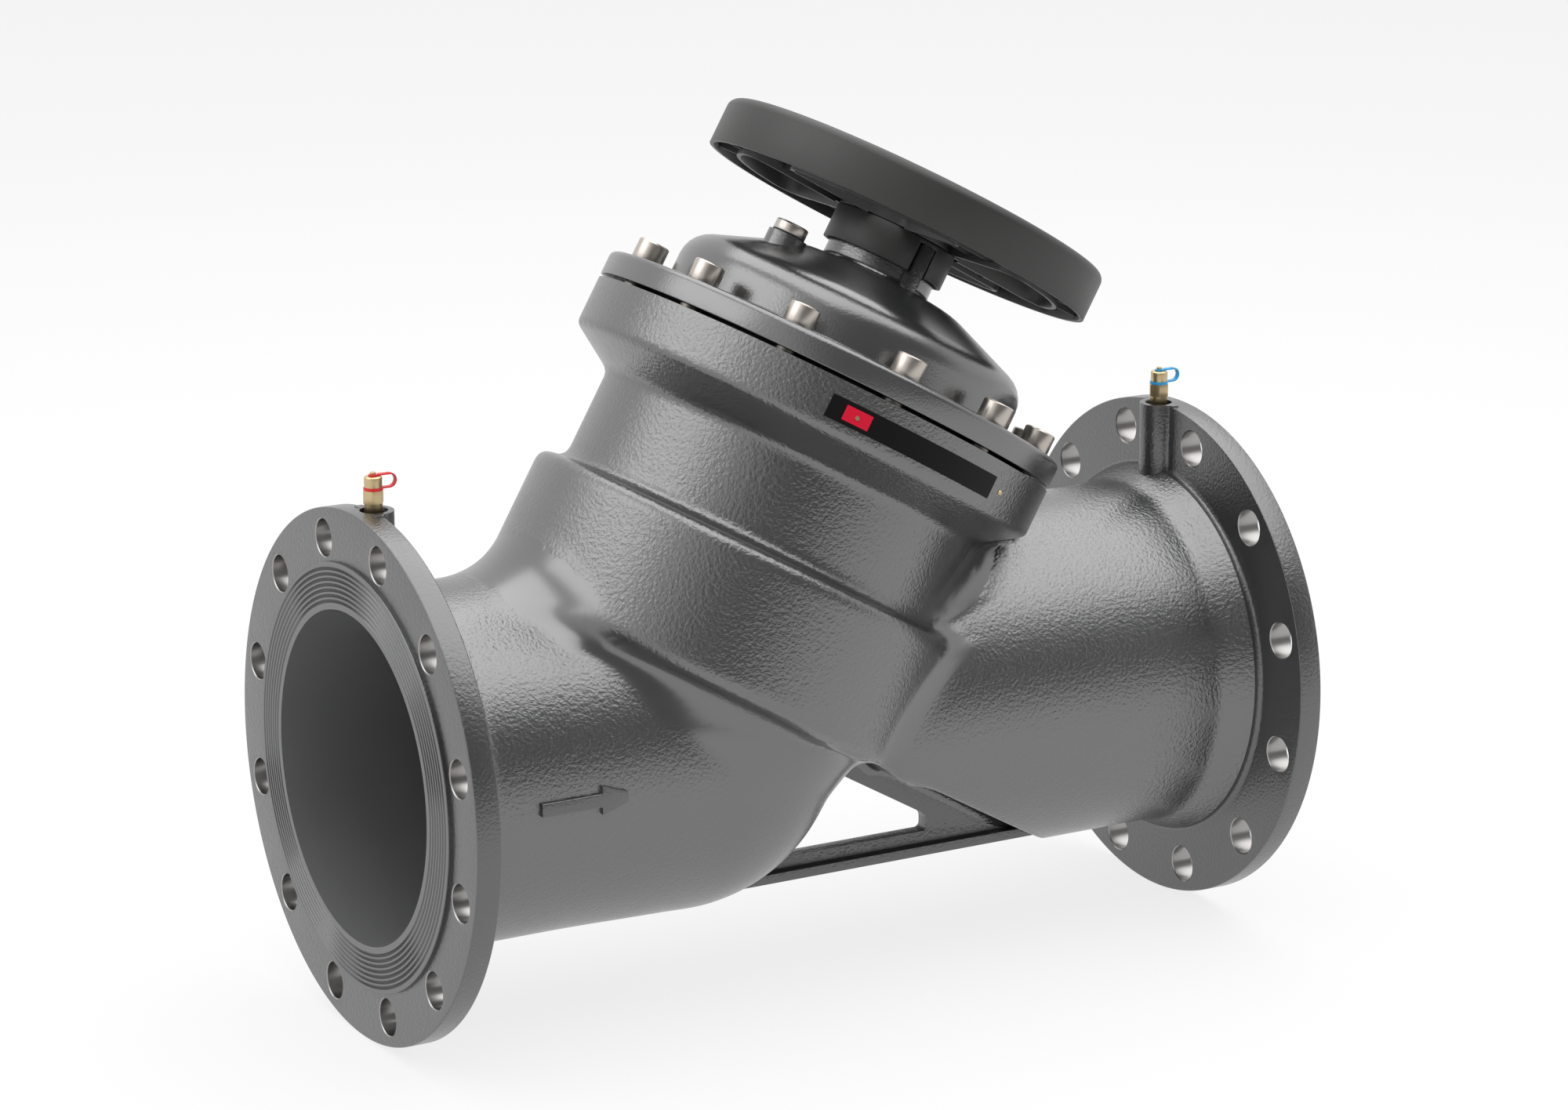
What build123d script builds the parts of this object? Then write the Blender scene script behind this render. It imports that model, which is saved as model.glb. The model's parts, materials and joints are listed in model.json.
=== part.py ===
import os
from math import atan2, cos, hypot, pi, radians, sin, sqrt, tan

from build123d import *

os.makedirs("parts", exist_ok=True)

# Pipe line. X runs with the flow, Z is up, and the inlet's sealing face is at X = 0.
face_to_face = 730.0
bore_r = 125.0
pipe_wall = 11.0
flange_r = 200.0
flange_thickness = 22.0
raised_face_edge = 40.0
raised_face_height = 3.0
bolt_edge = 22.5
bolt_hole_r = 14.0
bolt_count = 12
hub_rise = 11.5
hub_root = 6.0
hub_length = 23.0
hub_corner_r = 4.0
raised_face_r = flange_r - raised_face_edge
bolt_circle_r = flange_r - bolt_edge

# The bonnet axis leans towards the outlet. A "level" is a distance along it from the pipe line.
bonnet_x = 255.0
bonnet_angle = 60.0

# Body casting, as radii about the bonnet axis and levels along it
elbow_r = 138.0
elbow_wall = 11.5
throat_r = 141.0
throat_draft = 28.0
throat_corner_r = 12.0
deck_level = 48.0
deck_thickness = 12.0
barrel_r = 172.0
barrel_wall = 12.0
barrel_height = 105.0
barrel_corner_r = 8.0
barrel_step = 20.0
neck_barrel_r = barrel_r - barrel_step
neck_barrel_wall = 13.0
body_flange_out = 16.0
body_flange_r = barrel_r + body_flange_out
body_flange_height = 38.0
body_flange_cone = 23.0
body_top = 288.0
inlet_blend_r = 8.0

# Web under the body, with its foot bar and its window
web_thickness = 12.0
foot_width = 30.0
foot_height = 6.4
foot_slope = 5.0
window_rise = 17.0
window_band = 22.0
window_end_trim = 22.0
window_corner_r = 6.0

# Flow arrow cast on the inlet pipe
arrow_tail = 85.0
arrow_head = 134.0
arrow_tip = 155.0
arrow_half_shaft = 5.0
arrow_half_head = 11.0
arrow_half_tip = 4.2
arrow_stand = 3.4

# Pressure tappings, one on each flange
tapping_set = 0.5
tapping_boss_r = 15.0
tapping_recess_r = 10.5
tapping_recess_depth = 8.0
tapping_thread_r = 6.6
tapping_thread_depth = 20.0
tapping_drill_r = 2.5

# Clearances
slide_gap = 0.3
fitted_gap = 0.05
cap_gap = 0.1

# Bonnet casting
gasket_thickness = 3.0
gasket_width = 18.0
lid_thickness = 19.3
lid_edge_r = 4.5
spigot_depth = 19.0
dome_edge = 47.0
dome_r = body_flange_r - dome_edge
dome_wall = 11.5
dome_shoulder_rise = 37.2
dome_shoulder_r = 24.0
dome_crown_r = 66.0
dome_crown_rise = 66.7
dome_crown_blend_r = 60.0
dome_foot_r = 4.0
neck_r = 43.5
neck_height = 35.0
neck_foot_r = 5.0
screw_edge = 21.5
screw_circle_r = body_flange_r - screw_edge
screw_count = 12
screw_r = 8.0
screw_head_r = 12.0
screw_head_height = 16.0
screw_head_chamfer = 1.0
screw_socket_flats = 14.0
screw_socket_depth = 8.0
screw_engagement = 26.0
screw_hole_r = 9.0

# Lug cast on the neck, which keeps the indicator collar from turning, and the vent boss
lug_width = 10.0
lug_out = 52.5
lug_root = 36.0
lug_low_drop = 6.0
lug_stand = 1.5
vent_distance = 85.4
vent_boss_r = 15.4
vent_boss_drop = 2.0
vent_boss_height = 23.0
vent_head_r = 12.9
vent_head_height = 8.0
vent_head_chamfer = 1.0
vent_thread_r = 8.0
vent_thread_length = 16.0
vent_socket_flats = 10.0
vent_socket_depth = 5.0
vent_seal_thickness = 1.5

# Guide sleeve inside the bonnet and the keys that stop the cone turning
sleeve_wall = 10.0
sleeve_length = 98.0
sleeve_set = 6.0
bearing_web = 12.0
guide_key_width = 7.6
guide_key_length = 20.0
guide_key_lift = 4.0
keyway_width = 8.0
keyway_depth = 4.0

# Spindle, its bearings and its seals
spindle_r = 16.0
thread_pitch = 6.0
opening_turns = 11.0
thrust_collar_r = 24.0
thrust_collar_height = 8.0
thrust_washer_thickness = 2.0
gland_r = 26.0
gland_set = 4.0
gland_hole_r = 2.0
gland_hole_circle_r = 21.0
gland_hole_depth = 6.0
bush_wall = 4.0
oring_r = 1.9
oring_first = 8.0
oring_pitch = 9.0
spindle_end = 20.0
spindle_chamfer = 2.0

# Indicator collar round the neck
collar_r = 49.0
collar_wall = 2.6
collar_skirt = 21.0
collar_web = 5.3
collar_bore_r = 22.0
collar_slot_left = 7.0
collar_slot_right = 9.2
collar_slot_rise = 2.0

# Handwheel
wheel_r = 157.0
wheel_gap = 0.7
wheel_rim_drop = 1.3
wheel_height = 38.0
wheel_top_r = 7.5
wheel_skin = 4.0
wheel_wall = 3.4
rim_inner_r = 131.0
rim_rib_count = 16
rim_rib_thickness = 2.6
spoke_width = 49.0
spoke_corner_r = 12.0
spoke_rib_places = (72.0, 101.0)
wheel_boss_r = 26.0
wheel_seat_r = 14.0
hub_well_depth = 16.0
wheel_key_width = 5.0
wheel_key_height = 5.0
wheel_key_sink = 2.5
wheel_key_length = 17.0
wheel_screw_r = 6.0
wheel_screw_length = 20.0
wheel_screw_head_r = 9.0
wheel_screw_head_height = 7.0
wheel_screw_socket_flats = 8.0
wheel_screw_socket_depth = 4.0
wheel_washer_r = 20.0
wheel_washer_thickness = 3.0
hub_cover_r = 36.0
hub_cover_stand = 1.3
hub_cover_top = 3.0
hub_cover_wall = 2.4
hub_cover_edge_r = 1.2

# Seat ring, throttling cone and cage
seat_outer_r = 118.0
seat_wall = 10.0
seat_bore_r = seat_outer_r - seat_wall
seat_lip_out = 6.0
seat_lip_r = seat_outer_r + seat_lip_out
seat_lip_height = 3.0
seat_land_out = 1.0
seat_land_r = seat_outer_r + seat_land_out
seat_land_height = 6.0
seat_depth = 14.0
seal_thickness = 6.0
cone_out = 3.0
cone_r = seat_outer_r + cone_out
cone_plate = 12.0
cone_edge_r = 3.0
cone_tube_r = 34.0
cone_tube_bore_r = 20.0
cone_tube_top = 290.0
cone_rib_count = 6
cone_rib_thickness = 7.0
cone_rib_height = 34.0
cone_rib_set = 9.0
nut_r = 27.0
nut_height = 22.0
circlip_height = 2.0
circlip_grip = 1.5
circlip_gap = 14.0
cage_wall = 6.0
cage_plate_bore_r = 42.0
cage_length = 58.0
cage_guide_gap = 0.8
cage_port_count = 6
cage_port_width = 78.0
cage_port_drop = 4.0
cage_screw_circle_r = 72.0
cage_screw_count = 6
cage_screw_r = 4.0
cage_screw_hole_r = 4.5
cage_screw_head_r = 6.5
cage_screw_head_height = 8.0
cage_screw_socket_flats = 6.0
cage_screw_socket_depth = 4.0
cage_screw_depth = 9.0
cage_screw_set = 1.0

# Nameplate and its two drive rivets, by angle from the -Y side towards the outlet
plate_level = 258.7
plate_height = 17.6
plate_start_angle = -29.7
plate_end_angle = 17.3
plate_thickness = 0.8
rivet_level = 267.1
rivet_angles = (-22.7, 21.0)
rivet_head_r = 1.9
rivet_head_height = 1.0
rivet_shank_r = 1.2
rivet_length = 6.0

# Test plugs
nipple_r = 6.75
nipple_stand = 5.6
nipple_hex_flats = 14.0
nipple_hex_height = 9.5
nipple_tip_r = 5.0
nipple_tip_height = 8.5
nipple_bore_r = 2.2
core_r = 3.2
core_length = 12.0
strap_ring_r = 7.2
strap_ring_height = 1.9
strap_thickness = 1.2
strap_width = 4.0
strap_reach = 17.6
strap_eye_r = 3.4
cap_r = 6.6
cap_height = 8.2
cap_crown = 1.6
cap_pin_r = 1.2
cap_pin_head_r = 2.05
cap_pin_head_height = 1.6

# Planes and levels that follow from the sizes above
lean = radians(bonnet_angle)
bonnet_out = Vector(sin(lean), 0, -cos(lean))
bonnet_up = Vector(cos(lean), 0, sin(lean))
bonnet_plane = Plane(origin=(bonnet_x, 0, 0), x_dir=bonnet_out, z_dir=bonnet_up)
bonnet_axis = Axis((bonnet_x, 0, 0), bonnet_up)

pipe_r = bore_r + pipe_wall
deck_top = deck_level + deck_thickness
barrel_top = deck_level + barrel_height
barrel_bore_r = neck_barrel_r - neck_barrel_wall
lid_low = body_top + gasket_thickness
lid_top = lid_low + lid_thickness
dome_shoulder = lid_top + dome_shoulder_rise
dome_crown = lid_top + dome_crown_rise
neck_top = dome_crown + neck_height
vent_boss_top = dome_crown - vent_boss_drop
vent_head_low = vent_boss_top + vent_seal_thickness
sleeve_bore_r = cone_tube_r + slide_gap
sleeve_r = sleeve_bore_r + sleeve_wall
sleeve_top = dome_crown - dome_wall - sleeve_set
sleeve_low = sleeve_top - sleeve_length
guide_key_low = sleeve_low + guide_key_lift
keyway_floor_r = cone_tube_r - keyway_depth
bush_r = spindle_r + bush_wall
gland_floor = sleeve_top + bearing_web
collar_low = gland_floor + thrust_washer_thickness
collar_top = collar_low + thrust_collar_height
gland_low = collar_top + thrust_washer_thickness
gland_top = neck_top - gland_set
oring_groove_r = spindle_r + 2 * oring_r + 2 * cap_gap
oring_levels = (gland_low + oring_first, gland_low + oring_first + oring_pitch)
indicator_top = neck_top + collar_web
hub_low = indicator_top + wheel_gap
wheel_low = hub_low - wheel_rim_drop
wheel_top = wheel_low + wheel_height
ceiling = wheel_top - wheel_skin
hub_well = wheel_top - hub_well_depth
spindle_top = hub_well - wheel_gap
washer_top = hub_well + wheel_washer_thickness
seat_top = deck_top + seat_land_height
cone_low = seat_top + seal_thickness
cone_top = cone_low + cone_plate
travel = thread_pitch * opening_turns
nut_low = cone_tube_top - circlip_height - nut_height
spindle_low = nut_low - spindle_end
cage_r = seat_bore_r - cage_guide_gap
cage_low = deck_top - cage_length
tapping_places = (flange_thickness + tapping_set, face_to_face - flange_thickness - tapping_set)
tapping_top = flange_r
recess_floor = tapping_top - tapping_recess_depth
nipple_low = recess_floor - tapping_thread_depth
hex_low = tapping_top + nipple_stand
hex_top = hex_low + nipple_hex_height
tip_top = hex_top + nipple_tip_height
cap_low = hex_top + strap_ring_height + cap_gap
cap_top = cap_low + cap_height
eye_low = cap_top + cap_gap
eye_top = eye_low + strap_thickness


def level(height):
    """Plane square to the bonnet axis at this level."""
    return bonnet_plane.offset(height)


def section(angle=0):
    """Plane through the bonnet axis, x outwards at this angle and y up the axis."""
    outwards = bonnet_out * cos(radians(angle)) + Vector(0, 1, 0) * sin(radians(angle))
    return Plane(origin=(bonnet_x, 0, 0), x_dir=outwards, z_dir=outwards.cross(bonnet_up))


def rim_plane(angle, radius, height):
    """Plane square to a radius, at an angle from the -Y side towards the outlet."""
    outwards = bonnet_out * sin(radians(angle)) - Vector(0, 1, 0) * cos(radians(angle))
    centre = Vector(bonnet_x, 0, 0) + bonnet_up * height + outwards * radius
    return Plane(origin=centre, x_dir=bonnet_up, z_dir=outwards)


def save(piece, name):
    """Name a finished piece and write it."""
    piece.part.label = name
    export_step(piece.part, f"parts/{name}.step")


def hexagon_r(flats):
    """Corner radius of a hexagon from its width across flats."""
    return flats / sqrt(3)


# Flanges with their hubs, one at each end of the pipe line
hub_r = pipe_r + hub_rise
hub_start = flange_thickness + hub_root
hub_end = hub_start + hub_length
with BuildPart() as flange_ends:
    for face_x, inwards in ((0, 1), (face_to_face, -1)):
        with BuildSketch(Plane.XZ):
            with BuildLine():
                FilletPolyline(
                    (face_x, 0),
                    (face_x, raised_face_r),
                    (face_x + inwards * raised_face_height, raised_face_r),
                    (face_x + inwards * raised_face_height, flange_r),
                    (face_x + inwards * flange_thickness, flange_r),
                    (face_x + inwards * flange_thickness, hub_r),
                    (face_x + inwards * hub_start, hub_r),
                    (face_x + inwards * hub_end, pipe_r),
                    (face_x + inwards * (hub_end + hub_root), pipe_r),
                    (face_x + inwards * (hub_end + hub_root), 0),
                    radius=[0, 0, 0, 0, 0, hub_corner_r, hub_corner_r, hub_corner_r, 0, 0],
                    close=True,
                )
            make_face()
        revolve(axis=Axis.X)

# The outlet pipe ends below in the flat underside of the deck.
with BuildPart() as outlet_pipe:
    with BuildSketch(Plane.YZ.offset(bonnet_x)):
        Circle(pipe_r)
    extrude(amount=face_to_face - hub_end - bonnet_x)
    split(bisect_by=level(deck_level), keep=Keep.TOP)

# Flow passages: the inlet runs in under the deck and the outlet leaves above it.
with BuildPart() as inlet_passage:
    with BuildSketch(Plane.YZ):
        Circle(bore_r)
    extrude(amount=bonnet_x)
    split(bisect_by=level(deck_top - seat_depth), keep=Keep.BOTTOM)

with BuildPart() as outlet_passage:
    with BuildSketch(Plane.YZ.offset(bonnet_x)):
        Circle(bore_r)
    extrude(amount=face_to_face - bonnet_x)
    split(bisect_by=level(deck_top), keep=Keep.TOP)

# Web under the deck with its window, and the foot bar along its lower edge
web_low = -pipe_r + foot_height
foot_end = bonnet_x + (deck_level - web_low * sin(lean)) / cos(lean)
window_low = -pipe_r + window_rise
window_level = deck_level - window_band
window_end = bonnet_x + (window_level - window_low * sin(lean)) / cos(lean) - window_end_trim
with BuildPart() as web:
    with BuildSketch(Plane.XZ):
        with BuildLine():
            Polyline(
                (bonnet_x, web_low),
                (foot_end, web_low),
                (bonnet_x + deck_level / cos(lean), 0),
                (bonnet_x, 0),
                close=True,
            )
        make_face()
    extrude(amount=web_thickness / 2, both=True)
    with BuildSketch(Plane.XZ):
        with BuildLine():
            FilletPolyline(
                (bonnet_x, window_low),
                (window_end, window_low),
                (window_end, window_low + window_end_trim / tan(lean)),
                (bonnet_x + window_level / cos(lean), 0),
                (bonnet_x, 0),
                radius=[0, window_corner_r, window_corner_r, 0, 0],
                close=True,
            )
        make_face()
    extrude(amount=web_thickness, both=True, mode=Mode.SUBTRACT)
    with BuildSketch(Plane.YZ.offset(bonnet_x)):
        with BuildLine():
            Polyline(
                (-foot_width / 2, -pipe_r),
                (foot_width / 2, -pipe_r),
                (foot_width / 2, web_low),
                (web_thickness / 2, web_low + foot_slope),
                (-web_thickness / 2, web_low + foot_slope),
                (-foot_width / 2, web_low),
                close=True,
            )
        make_face()
    extrude(amount=foot_end - bonnet_x)


def joins_inlet_pipe(edge):
    """Whether an edge lies on the inlet pipe's surface, clear of its flange and its seam."""
    points = [edge @ 0, edge @ 0.3, edge @ 0.5, edge @ 1]
    on_pipe = all(abs(hypot(point.Y, point.Z) - pipe_r) < 0.02 for point in points)
    return on_pipe and edge.geom_type != GeomType.LINE and flange_r / 2 < points[2].X < bonnet_x


# Body casting: elbow under the deck, stepped barrel above it, and the two legs
elbow_bore_r = elbow_r - elbow_wall
throat_bore_r = throat_r - elbow_wall
with BuildPart() as valve_body:
    with BuildSketch(section()):
        with BuildLine():
            ThreePointArc(
                (0, -elbow_r), (elbow_r * sin(pi / 4), -elbow_r * cos(pi / 4)), (elbow_r, 0)
            )
            FilletPolyline(
                (elbow_r, 0),
                (throat_r, throat_draft),
                (throat_r, deck_level),
                (barrel_r, deck_level),
                (barrel_r, barrel_top),
                (neck_barrel_r, barrel_top),
                (neck_barrel_r, body_top - body_flange_height - body_flange_cone),
                (body_flange_r, body_top - body_flange_height),
                (body_flange_r, body_top),
                (0, body_top),
                radius=[0, throat_corner_r, barrel_corner_r, barrel_corner_r, barrel_corner_r, 0, 0, 0],
            )
            Line((0, body_top), (0, -elbow_r))
        make_face()
    revolve(axis=bonnet_axis)
    with BuildSketch(Plane.YZ.offset(hub_end)):
        Circle(pipe_r)
    extrude(amount=bonnet_x - hub_end)
    add(outlet_pipe.part)
    fillet(valve_body.edges().filter_by(joins_inlet_pipe), inlet_blend_r)
    add(flange_ends.part)
    add(web.part)
    with BuildSketch(Plane.XY.offset(bore_r)):
        with Locations([(x, 0) for x in tapping_places]):
            Circle(tapping_boss_r)
    extrude(amount=tapping_top - bore_r)
    with BuildSketch(Plane.XZ.offset(bore_r)):
        with BuildLine():
            Polyline(
                (arrow_tail, -arrow_half_shaft),
                (arrow_head, -arrow_half_shaft),
                (arrow_head, -arrow_half_head),
                (arrow_tip, -arrow_half_tip),
                (arrow_tip, arrow_half_tip),
                (arrow_head, arrow_half_head),
                (arrow_head, arrow_half_shaft),
                (arrow_tail, arrow_half_shaft),
                close=True,
            )
        make_face()
    extrude(amount=pipe_wall + arrow_stand)

    # Elbow bore, seat pocket and valve chamber
    with BuildSketch(section()):
        with BuildLine():
            ThreePointArc(
                (0, -elbow_bore_r),
                (elbow_bore_r * sin(pi / 4), -elbow_bore_r * cos(pi / 4)),
                (elbow_bore_r, 0),
            )
            Polyline(
                (elbow_bore_r, 0),
                (throat_bore_r, throat_draft),
                (throat_bore_r, deck_top - seat_depth),
                (seat_outer_r + fitted_gap, deck_top - seat_depth),
                (seat_outer_r + fitted_gap, deck_top),
                (barrel_r - barrel_wall, deck_top),
                (barrel_r - barrel_wall, barrel_top - barrel_wall),
                (barrel_bore_r, barrel_top),
                (barrel_bore_r, body_top),
                (0, body_top),
                (0, -elbow_bore_r),
            )
        make_face()
    revolve(axis=bonnet_axis, mode=Mode.SUBTRACT)
    add(inlet_passage.part, mode=Mode.SUBTRACT)
    add(outlet_passage.part, mode=Mode.SUBTRACT)

    # Flange holes, straddling the vertical
    for face_x, depth in ((0, flange_thickness), (face_to_face, -flange_thickness)):
        with BuildSketch(Plane.YZ.offset(face_x)):
            with PolarLocations(bolt_circle_r, bolt_count, start_angle=180 / bolt_count):
                Circle(bolt_hole_r)
        extrude(amount=depth, mode=Mode.SUBTRACT)

    # Tapped holes for the bonnet screws
    with BuildSketch(level(body_top)):
        with PolarLocations(screw_circle_r, screw_count, start_angle=180 / screw_count):
            Circle(screw_r + fitted_gap)
    extrude(amount=-screw_engagement - screw_r / 4, mode=Mode.SUBTRACT)

    # Tappings: recess, thread, and drilling through to the bore
    tapping_steps = (
        (tapping_recess_r, tapping_recess_depth),
        (tapping_thread_r + fitted_gap, tapping_top - nipple_low),
        (tapping_drill_r, tapping_top - bore_r + pipe_wall),
    )
    for hole_r, depth in tapping_steps:
        with BuildSketch(Plane.XY.offset(tapping_top)):
            with Locations([(x, 0) for x in tapping_places]):
                Circle(hole_r)
        extrude(amount=-depth, mode=Mode.SUBTRACT)

    # Rivet holes for the nameplate
    for angle in rivet_angles:
        with BuildSketch(rim_plane(angle, body_flange_r, rivet_level)):
            Circle(rivet_shank_r + fitted_gap)
        extrude(amount=-rivet_length, mode=Mode.SUBTRACT)
save(valve_body, "valve_body")

# Seat ring, pressed into the deck and lying on it with a lip
with BuildPart() as seat_ring:
    with BuildSketch(section()):
        with BuildLine():
            Polyline(
                (seat_bore_r, deck_top - seat_depth),
                (seat_outer_r, deck_top - seat_depth),
                (seat_outer_r, deck_top),
                (seat_lip_r, deck_top),
                (seat_lip_r, deck_top + seat_lip_height),
                (seat_land_r, seat_top),
                (seat_bore_r, seat_top),
                close=True,
            )
        make_face()
    revolve(axis=bonnet_axis)
save(seat_ring, "seat_ring")

# Bonnet: lid, dome, neck and guide sleeve in one casting
dome_slope = atan2(dome_crown - dome_shoulder, dome_r - dome_crown_r)
dome_bore_r = dome_r - dome_wall
with BuildPart() as bonnet:
    with BuildSketch(section()):
        with BuildLine():
            FilletPolyline(
                (dome_bore_r, lid_low - spigot_depth),
                (barrel_bore_r - slide_gap, lid_low - spigot_depth),
                (barrel_bore_r - slide_gap, lid_low),
                (body_flange_r, lid_low),
                (body_flange_r, lid_top),
                (dome_r, lid_top),
                (dome_r, dome_shoulder),
                (dome_crown_r, dome_crown),
                (neck_r, dome_crown),
                (neck_r, neck_top),
                (gland_r, neck_top),
                (gland_r, gland_floor),
                (bush_r + fitted_gap, gland_floor),
                (bush_r + fitted_gap, sleeve_top),
                (sleeve_bore_r, sleeve_top),
                (sleeve_bore_r, sleeve_low),
                (sleeve_r, sleeve_low),
                (sleeve_r, dome_crown - dome_wall),
                (dome_crown_r - dome_wall * tan(dome_slope / 2), dome_crown - dome_wall),
                (dome_bore_r, dome_shoulder - dome_wall * tan((pi / 2 - dome_slope) / 2)),
                radius=[
                    0,
                    0,
                    0,
                    0,
                    lid_edge_r,
                    dome_foot_r,
                    dome_shoulder_r,
                    dome_crown_blend_r,
                    neck_foot_r,
                    0,
                    0,
                    0,
                    0,
                    0,
                    0,
                    0,
                    0,
                    0,
                    0,
                    0,
                ],
                close=True,
            )
        make_face()
    revolve(axis=bonnet_axis)
    with BuildSketch(level(dome_crown - lug_low_drop)):
        with Locations((0, -(lug_out + lug_root) / 2)):
            Rectangle(lug_width, lug_out - lug_root)
    extrude(amount=neck_top + lug_stand - dome_crown + lug_low_drop)
    with BuildSketch(level(vent_boss_top)):
        with Locations((-vent_distance, 0)):
            Circle(vent_boss_r)
    extrude(amount=-vent_boss_height)
    with BuildSketch(level(vent_boss_top)):
        with Locations((-vent_distance, 0)):
            Circle(vent_thread_r + fitted_gap)
    extrude(amount=-vent_boss_height, mode=Mode.SUBTRACT)
    with BuildSketch(level(lid_low)):
        with PolarLocations(screw_circle_r, screw_count, start_angle=180 / screw_count):
            Circle(screw_hole_r)
    extrude(amount=lid_thickness, mode=Mode.SUBTRACT)
    with BuildSketch(level(guide_key_low - fitted_gap)):
        Rectangle(guide_key_width + 2 * fitted_gap, 2 * (sleeve_r + slide_gap))
    extrude(amount=guide_key_length + 2 * fitted_gap, mode=Mode.SUBTRACT)
save(bonnet, "bonnet")

with BuildPart() as bonnet_gasket:
    with BuildSketch(level(body_top)):
        Circle(barrel_bore_r + gasket_width)
        Circle(barrel_bore_r, mode=Mode.SUBTRACT)
    extrude(amount=gasket_thickness)
save(bonnet_gasket, "bonnet_gasket")

with BuildPart() as bonnet_screws:
    with BuildSketch(level(lid_top)):
        with PolarLocations(screw_circle_r, screw_count, start_angle=180 / screw_count):
            Circle(screw_head_r)
    extrude(amount=screw_head_height)
    chamfer(bonnet_screws.faces().sort_by(bonnet_axis)[-1 * screw_count :].edges(), screw_head_chamfer)
    with BuildSketch(level(lid_top + screw_head_height)):
        with PolarLocations(screw_circle_r, screw_count, start_angle=180 / screw_count):
            RegularPolygon(hexagon_r(screw_socket_flats), 6)
    extrude(amount=-screw_socket_depth, mode=Mode.SUBTRACT)
    with BuildSketch(level(lid_top)):
        with PolarLocations(screw_circle_r, screw_count, start_angle=180 / screw_count):
            Circle(screw_r)
    extrude(amount=body_top - screw_engagement - lid_top)
save(bonnet_screws, "bonnet_screws")

# Vent plug on its sealing ring
with BuildPart() as vent_plug:
    with BuildSketch(level(vent_head_low)):
        with Locations((-vent_distance, 0)):
            Circle(vent_head_r)
    extrude(amount=vent_head_height)
    chamfer(vent_plug.faces().sort_by(bonnet_axis)[-1].edges(), vent_head_chamfer)
    with BuildSketch(level(vent_head_low + vent_head_height)):
        with Locations((-vent_distance, 0)):
            RegularPolygon(hexagon_r(vent_socket_flats), 6)
    extrude(amount=-vent_socket_depth, mode=Mode.SUBTRACT)
    with BuildSketch(level(vent_head_low)):
        with Locations((-vent_distance, 0)):
            Circle(vent_thread_r)
    extrude(amount=-vent_thread_length)
save(vent_plug, "vent_plug")

with BuildPart() as vent_seal:
    with BuildSketch(level(vent_boss_top)):
        with Locations((-vent_distance, 0)):
            Circle(vent_head_r)
            Circle(vent_thread_r + fitted_gap, mode=Mode.SUBTRACT)
    extrude(amount=vent_seal_thickness)
save(vent_seal, "vent_seal")

# Spindle bearings and seals in the bonnet
with BuildPart() as stem_bush:
    with BuildSketch(level(sleeve_top)):
        Circle(bush_r)
        Circle(spindle_r + fitted_gap, mode=Mode.SUBTRACT)
    extrude(amount=bearing_web)
save(stem_bush, "stem_bush")

with BuildPart() as thrust_washers:
    for washer_low in (gland_floor, collar_top):
        with BuildSketch(level(washer_low)):
            Circle(gland_r - slide_gap)
            Circle(spindle_r + slide_gap, mode=Mode.SUBTRACT)
        extrude(amount=thrust_washer_thickness)
save(thrust_washers, "thrust_washers")

with BuildPart() as gland_nut:
    with BuildSketch(level(gland_low)):
        Circle(gland_r - fitted_gap)
        Circle(spindle_r + fitted_gap, mode=Mode.SUBTRACT)
    extrude(amount=gland_top - gland_low)
    for groove_level in oring_levels:
        with BuildSketch(level(groove_level - oring_r - cap_gap)):
            Circle(oring_groove_r)
        extrude(amount=2 * (oring_r + cap_gap), mode=Mode.SUBTRACT)
    with BuildSketch(level(gland_top)):
        with PolarLocations(gland_hole_circle_r, 2):
            Circle(gland_hole_r)
    extrude(amount=-gland_hole_depth, mode=Mode.SUBTRACT)
save(gland_nut, "gland_nut")

with BuildPart() as stem_seals:
    for seal_level in oring_levels:
        with BuildSketch(section()):
            with Locations((spindle_r + cap_gap + oring_r, seal_level)):
                RegularPolygon(oring_r, 8)
        revolve(axis=bonnet_axis)
save(stem_seals, "stem_seals")

with BuildPart() as guide_keys:
    with BuildSketch(level(guide_key_low)):
        with PolarLocations((sleeve_r + keyway_floor_r + slide_gap) / 2, 2, start_angle=90):
            Rectangle(sleeve_r - keyway_floor_r - slide_gap, guide_key_width)
    extrude(amount=guide_key_length)
save(guide_keys, "guide_keys")

# Collar round the neck that carries the indicator window, slotted over the lug
with BuildPart() as indicator_collar:
    with BuildSketch(level(neck_top)):
        Circle(collar_r)
        Circle(collar_bore_r, mode=Mode.SUBTRACT)
    extrude(amount=collar_web)
    with BuildSketch(level(neck_top)):
        Circle(collar_r)
        Circle(collar_r - collar_wall, mode=Mode.SUBTRACT)
    extrude(amount=-collar_skirt)
    with BuildSketch(level(neck_top - collar_skirt)):
        with BuildLine():
            Polyline(
                (-collar_slot_left, -lug_root),
                (collar_slot_right, -lug_root),
                (collar_slot_right, -lug_out),
                (-collar_slot_left, -lug_out),
                close=True,
            )
        make_face()
    extrude(amount=collar_skirt + collar_slot_rise, mode=Mode.SUBTRACT)
save(indicator_collar, "indicator_collar")

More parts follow.
